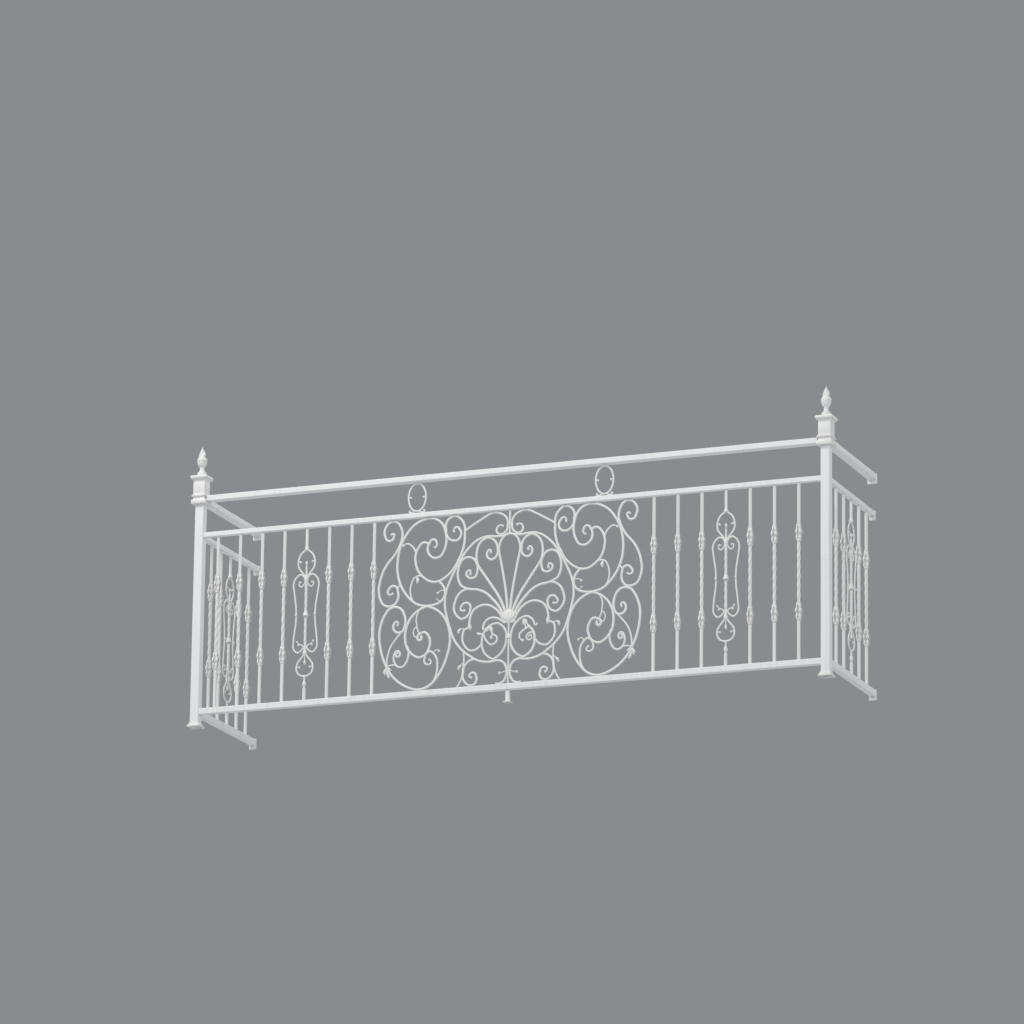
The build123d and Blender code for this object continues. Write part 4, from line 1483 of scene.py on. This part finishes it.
@dataclass
class Fixings(Dressing):
    """The centre foot and the plates that hold the returns to the wall."""

    margin: float = 2 * MM             # how far a plate shows beside its rail
    screw_side: float = 7 * MM         # from a plate's middle to each of its screws

    def foot(self) -> None:
        """The foot under the middle of the bottom rail."""
        node = "centre_foot"
        place = middle(node)
        tall = (high(node).z - low(node).z) / MM
        profile = [(16.4, 0.0), (17.0, 0.7), (17.0, 3.2), (16.2, 4.0), (11.0, 4.4), (9.4, 6.6),
                   (8.8, 9.0), (8.8, tall)]
        self.put("centre_foot_casting", square_casting("foot", profile, 1.6),
                 at(place.x, place.y, 0), node)

    def plates(self) -> None:
        """The wall plates, each with its two screws."""
        for side in ("left", "right"):
            node = f"{side}_wall_plates"
            box = low(node), high(node)
            x, wall = middle(node).x, box[1].y
            thick = box[1].y - box[0].y
            ear = low(f"{side}_bottom_rail").z - box[0].z
            parts = []
            for rail in ("handrail", "midrail", "bottom_rail"):
                rail_box = low(f"{side}_{rail}"), high(f"{side}_{rail}")
                half_wide = (rail_box[1].x - rail_box[0].x) / 2 + self.margin
                half_tall = (rail_box[1].z - rail_box[0].z + ear) / 2 + MM
                z = rail_box[0].z - ear + half_tall
                rings = []
                for inset, depth in ((0.8, 0.0), (0.0, 0.8), (0.0, thick / MM - 0.9),
                                     (0.9, thick / MM)):
                    ring = rounded_square(1.0, 0.16, 0.0, 4)
                    rings.append([(x + px * (half_wide - inset * MM), wall - depth * MM,
                                   z + py * (half_tall - inset * MM)) for px, py, _ in ring])
                parts.append(skinned("plate", rings))
                screw = self.shop.turned("screw", SCREW_HEAD, 20)
                for sign in (-1, 1):
                    spot = (x + sign * self.screw_side, wall - thick + 0.2 * MM,
                            rail_box[0].z - ear / 2)
                    parts.append((screw, at(*spot) @ Matrix.Rotation(math.pi / 2, 4, "X")))
            self.put(f"{side}_wall_plate_set", joined("wall_plates", *parts), Matrix(), node,
                     Finish.EXTRUDED)

    def build(self) -> None:
        """Make the foot and the plates."""
        self.foot()
        self.plates()


@dataclass
class Studio:
    """Floor, background, lamps and camera."""

    floor_tone: Colour = colour(0.60, 0.60, 0.59)
    backdrop_tone: Colour = colour(0.25, 0.26, 0.27)
    fill: float = 0.54
    camera_place: Point3 = (8.2801, -24.2439, -6.2470)
    yaw_deg: float = 21.848
    pitch_deg: float = 15.200
    roll_deg: float = 0.7325
    lens_mm: float = 219.22

    def floor(self) -> None:
        """A pale floor with the railing's shadow, seen from above and open to light from below."""
        half = FLOOR_HALF
        mesh = bpy.data.meshes.new("floor")
        under = -0.0006
        mesh.from_pydata([(-half, -half, under), (half, -half, under), (half, half, under),
                          (-half, half, under)], [], [(0, 1, 2, 3)])
        floor = bpy.data.objects.new("floor", mesh)
        bpy.context.scene.collection.objects.link(floor)
        material = bpy.data.materials.new("pale_floor")
        material.use_nodes = True
        tree = Tree(material.node_tree)
        shader = material.node_tree.nodes["Principled BSDF"]
        output = material.node_tree.nodes["Material Output"]
        shader.inputs["Base Color"].default_value = self.floor_tone
        shader.inputs["Roughness"].default_value = 0.9
        facing = tree.node("ShaderNodeNewGeometry")
        path = tree.node("ShaderNodeLightPath")
        unseen = tree.math("SUBTRACT", {0: 1.0})
        tree.wire((path, "Is Camera Ray", unseen, 1))
        hidden = tree.math("MAXIMUM")
        tree.wire((facing, "Backfacing", hidden, 0), (unseen, "Value", hidden, 1))
        clear = tree.node("ShaderNodeBsdfTransparent")
        mixed = tree.node("ShaderNodeMixShader")
        tree.wire(
            (hidden, "Value", mixed, "Fac"), (shader, "BSDF", mixed, 1), (clear, "BSDF", mixed, 2),
            (mixed, "Shader", output, "Surface"))
        mesh.materials.append(material)

    def world(self) -> None:
        """A plain background for the camera, and soft light from all round."""
        world = bpy.data.worlds.new("studio")
        world.use_nodes = True
        tree = Tree(world.node_tree)
        light = world.node_tree.nodes["Background"]
        output = world.node_tree.nodes["World Output"]
        light.inputs["Color"].default_value = colour(0.96, 0.98, 1.0)
        light.inputs["Strength"].default_value = self.fill
        seen = tree.node("ShaderNodeBackground", {"Color": self.backdrop_tone, "Strength": 1.0})
        path = tree.node("ShaderNodeLightPath")
        mixed = tree.node("ShaderNodeMixShader")
        tree.wire(
            (path, "Is Camera Ray", mixed, "Fac"), (light, "Background", mixed, 1),
            (seen, "Background", mixed, 2), (mixed, "Shader", output, "Surface"))
        bpy.context.scene.world = world

    def lamp(self, name: str, place: Point3, target: Point3, size: float, power: float,
             tint: tuple[float, float, float]) -> None:
        """Add a soft square lamp.

        Args:
            name: the lamp's name.
            place: where it hangs.
            target: what it shines at.
            size: its side.
            power: its watts.
            tint: its colour.
        """
        data = bpy.data.lights.new(name, "AREA")
        data.size = size
        data.energy = power
        data.color = tint
        lamp = bpy.data.objects.new(name, data)
        lamp.location = place
        lamp.rotation_euler = (Vector(target) - Vector(place)).to_track_quat("-Z", "Y").to_euler()
        bpy.context.scene.collection.objects.link(lamp)

    def camera(self) -> None:
        """The camera where the photograph was taken from, level with the ground far below."""
        yaw, pitch, roll = (math.radians(a) for a in (self.yaw_deg, self.pitch_deg, self.roll_deg))
        ahead = Vector((-math.sin(yaw) * math.cos(pitch), math.cos(yaw) * math.cos(pitch),
                        math.sin(pitch)))
        across = Vector((math.cos(yaw), math.sin(yaw), 0.0))
        upright = across.cross(ahead)
        right = across * math.cos(roll) + upright * math.sin(roll)
        up = upright * math.cos(roll) - across * math.sin(roll)
        data = bpy.data.cameras.new("photo_camera")
        data.sensor_fit = "HORIZONTAL"
        data.sensor_width = 36.0
        data.lens = self.lens_mm
        data.clip_end = 200.0
        camera = bpy.data.objects.new("photo_camera", data)
        turn = Matrix((right, up, -ahead)).transposed()
        camera.matrix_world = Matrix.Translation(self.camera_place) @ turn.to_4x4()
        bpy.context.scene.collection.objects.link(camera)
        bpy.context.scene.camera = camera

    def build(self) -> None:
        """Set the stage."""
        self.floor()
        self.world()
        centre = tuple((Vector(CAD_BOX[0]) + Vector(CAD_BOX[1])) / 2)
        self.lamp("key", (-4.6, -5.0, 6.5), centre, 3.0, 340.0, (1.0, 0.99, 0.97))
        self.lamp("fill", (5.5, -5.0, 3.0), centre, 4.0, 105.0, (0.97, 0.99, 1.0))
        self.lamp("back", (-1.5, 6.0, 4.5), centre, 3.0, 45.0, (1.0, 1.0, 1.0))
        self.camera()
        bpy.context.scene.view_settings.view_transform = "Standard"


def main() -> None:
    """Dress the railing, logging each piece as it is made."""
    logging.basicConfig(level=logging.INFO, format="%(name)s: %(message)s")
    shop = Workshop()
    Studio().build()
    for side in ("left", "right"):
        CornerPost(shop, side).build()
    for node in sorted(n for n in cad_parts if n.endswith("rail")):
        shop.keep(node, Finish.EXTRUDED)
    Infill(shop).build()
    ScrollPanel(shop).build()
    Fixings(shop).build()


if __name__ == "__main__":
    main()
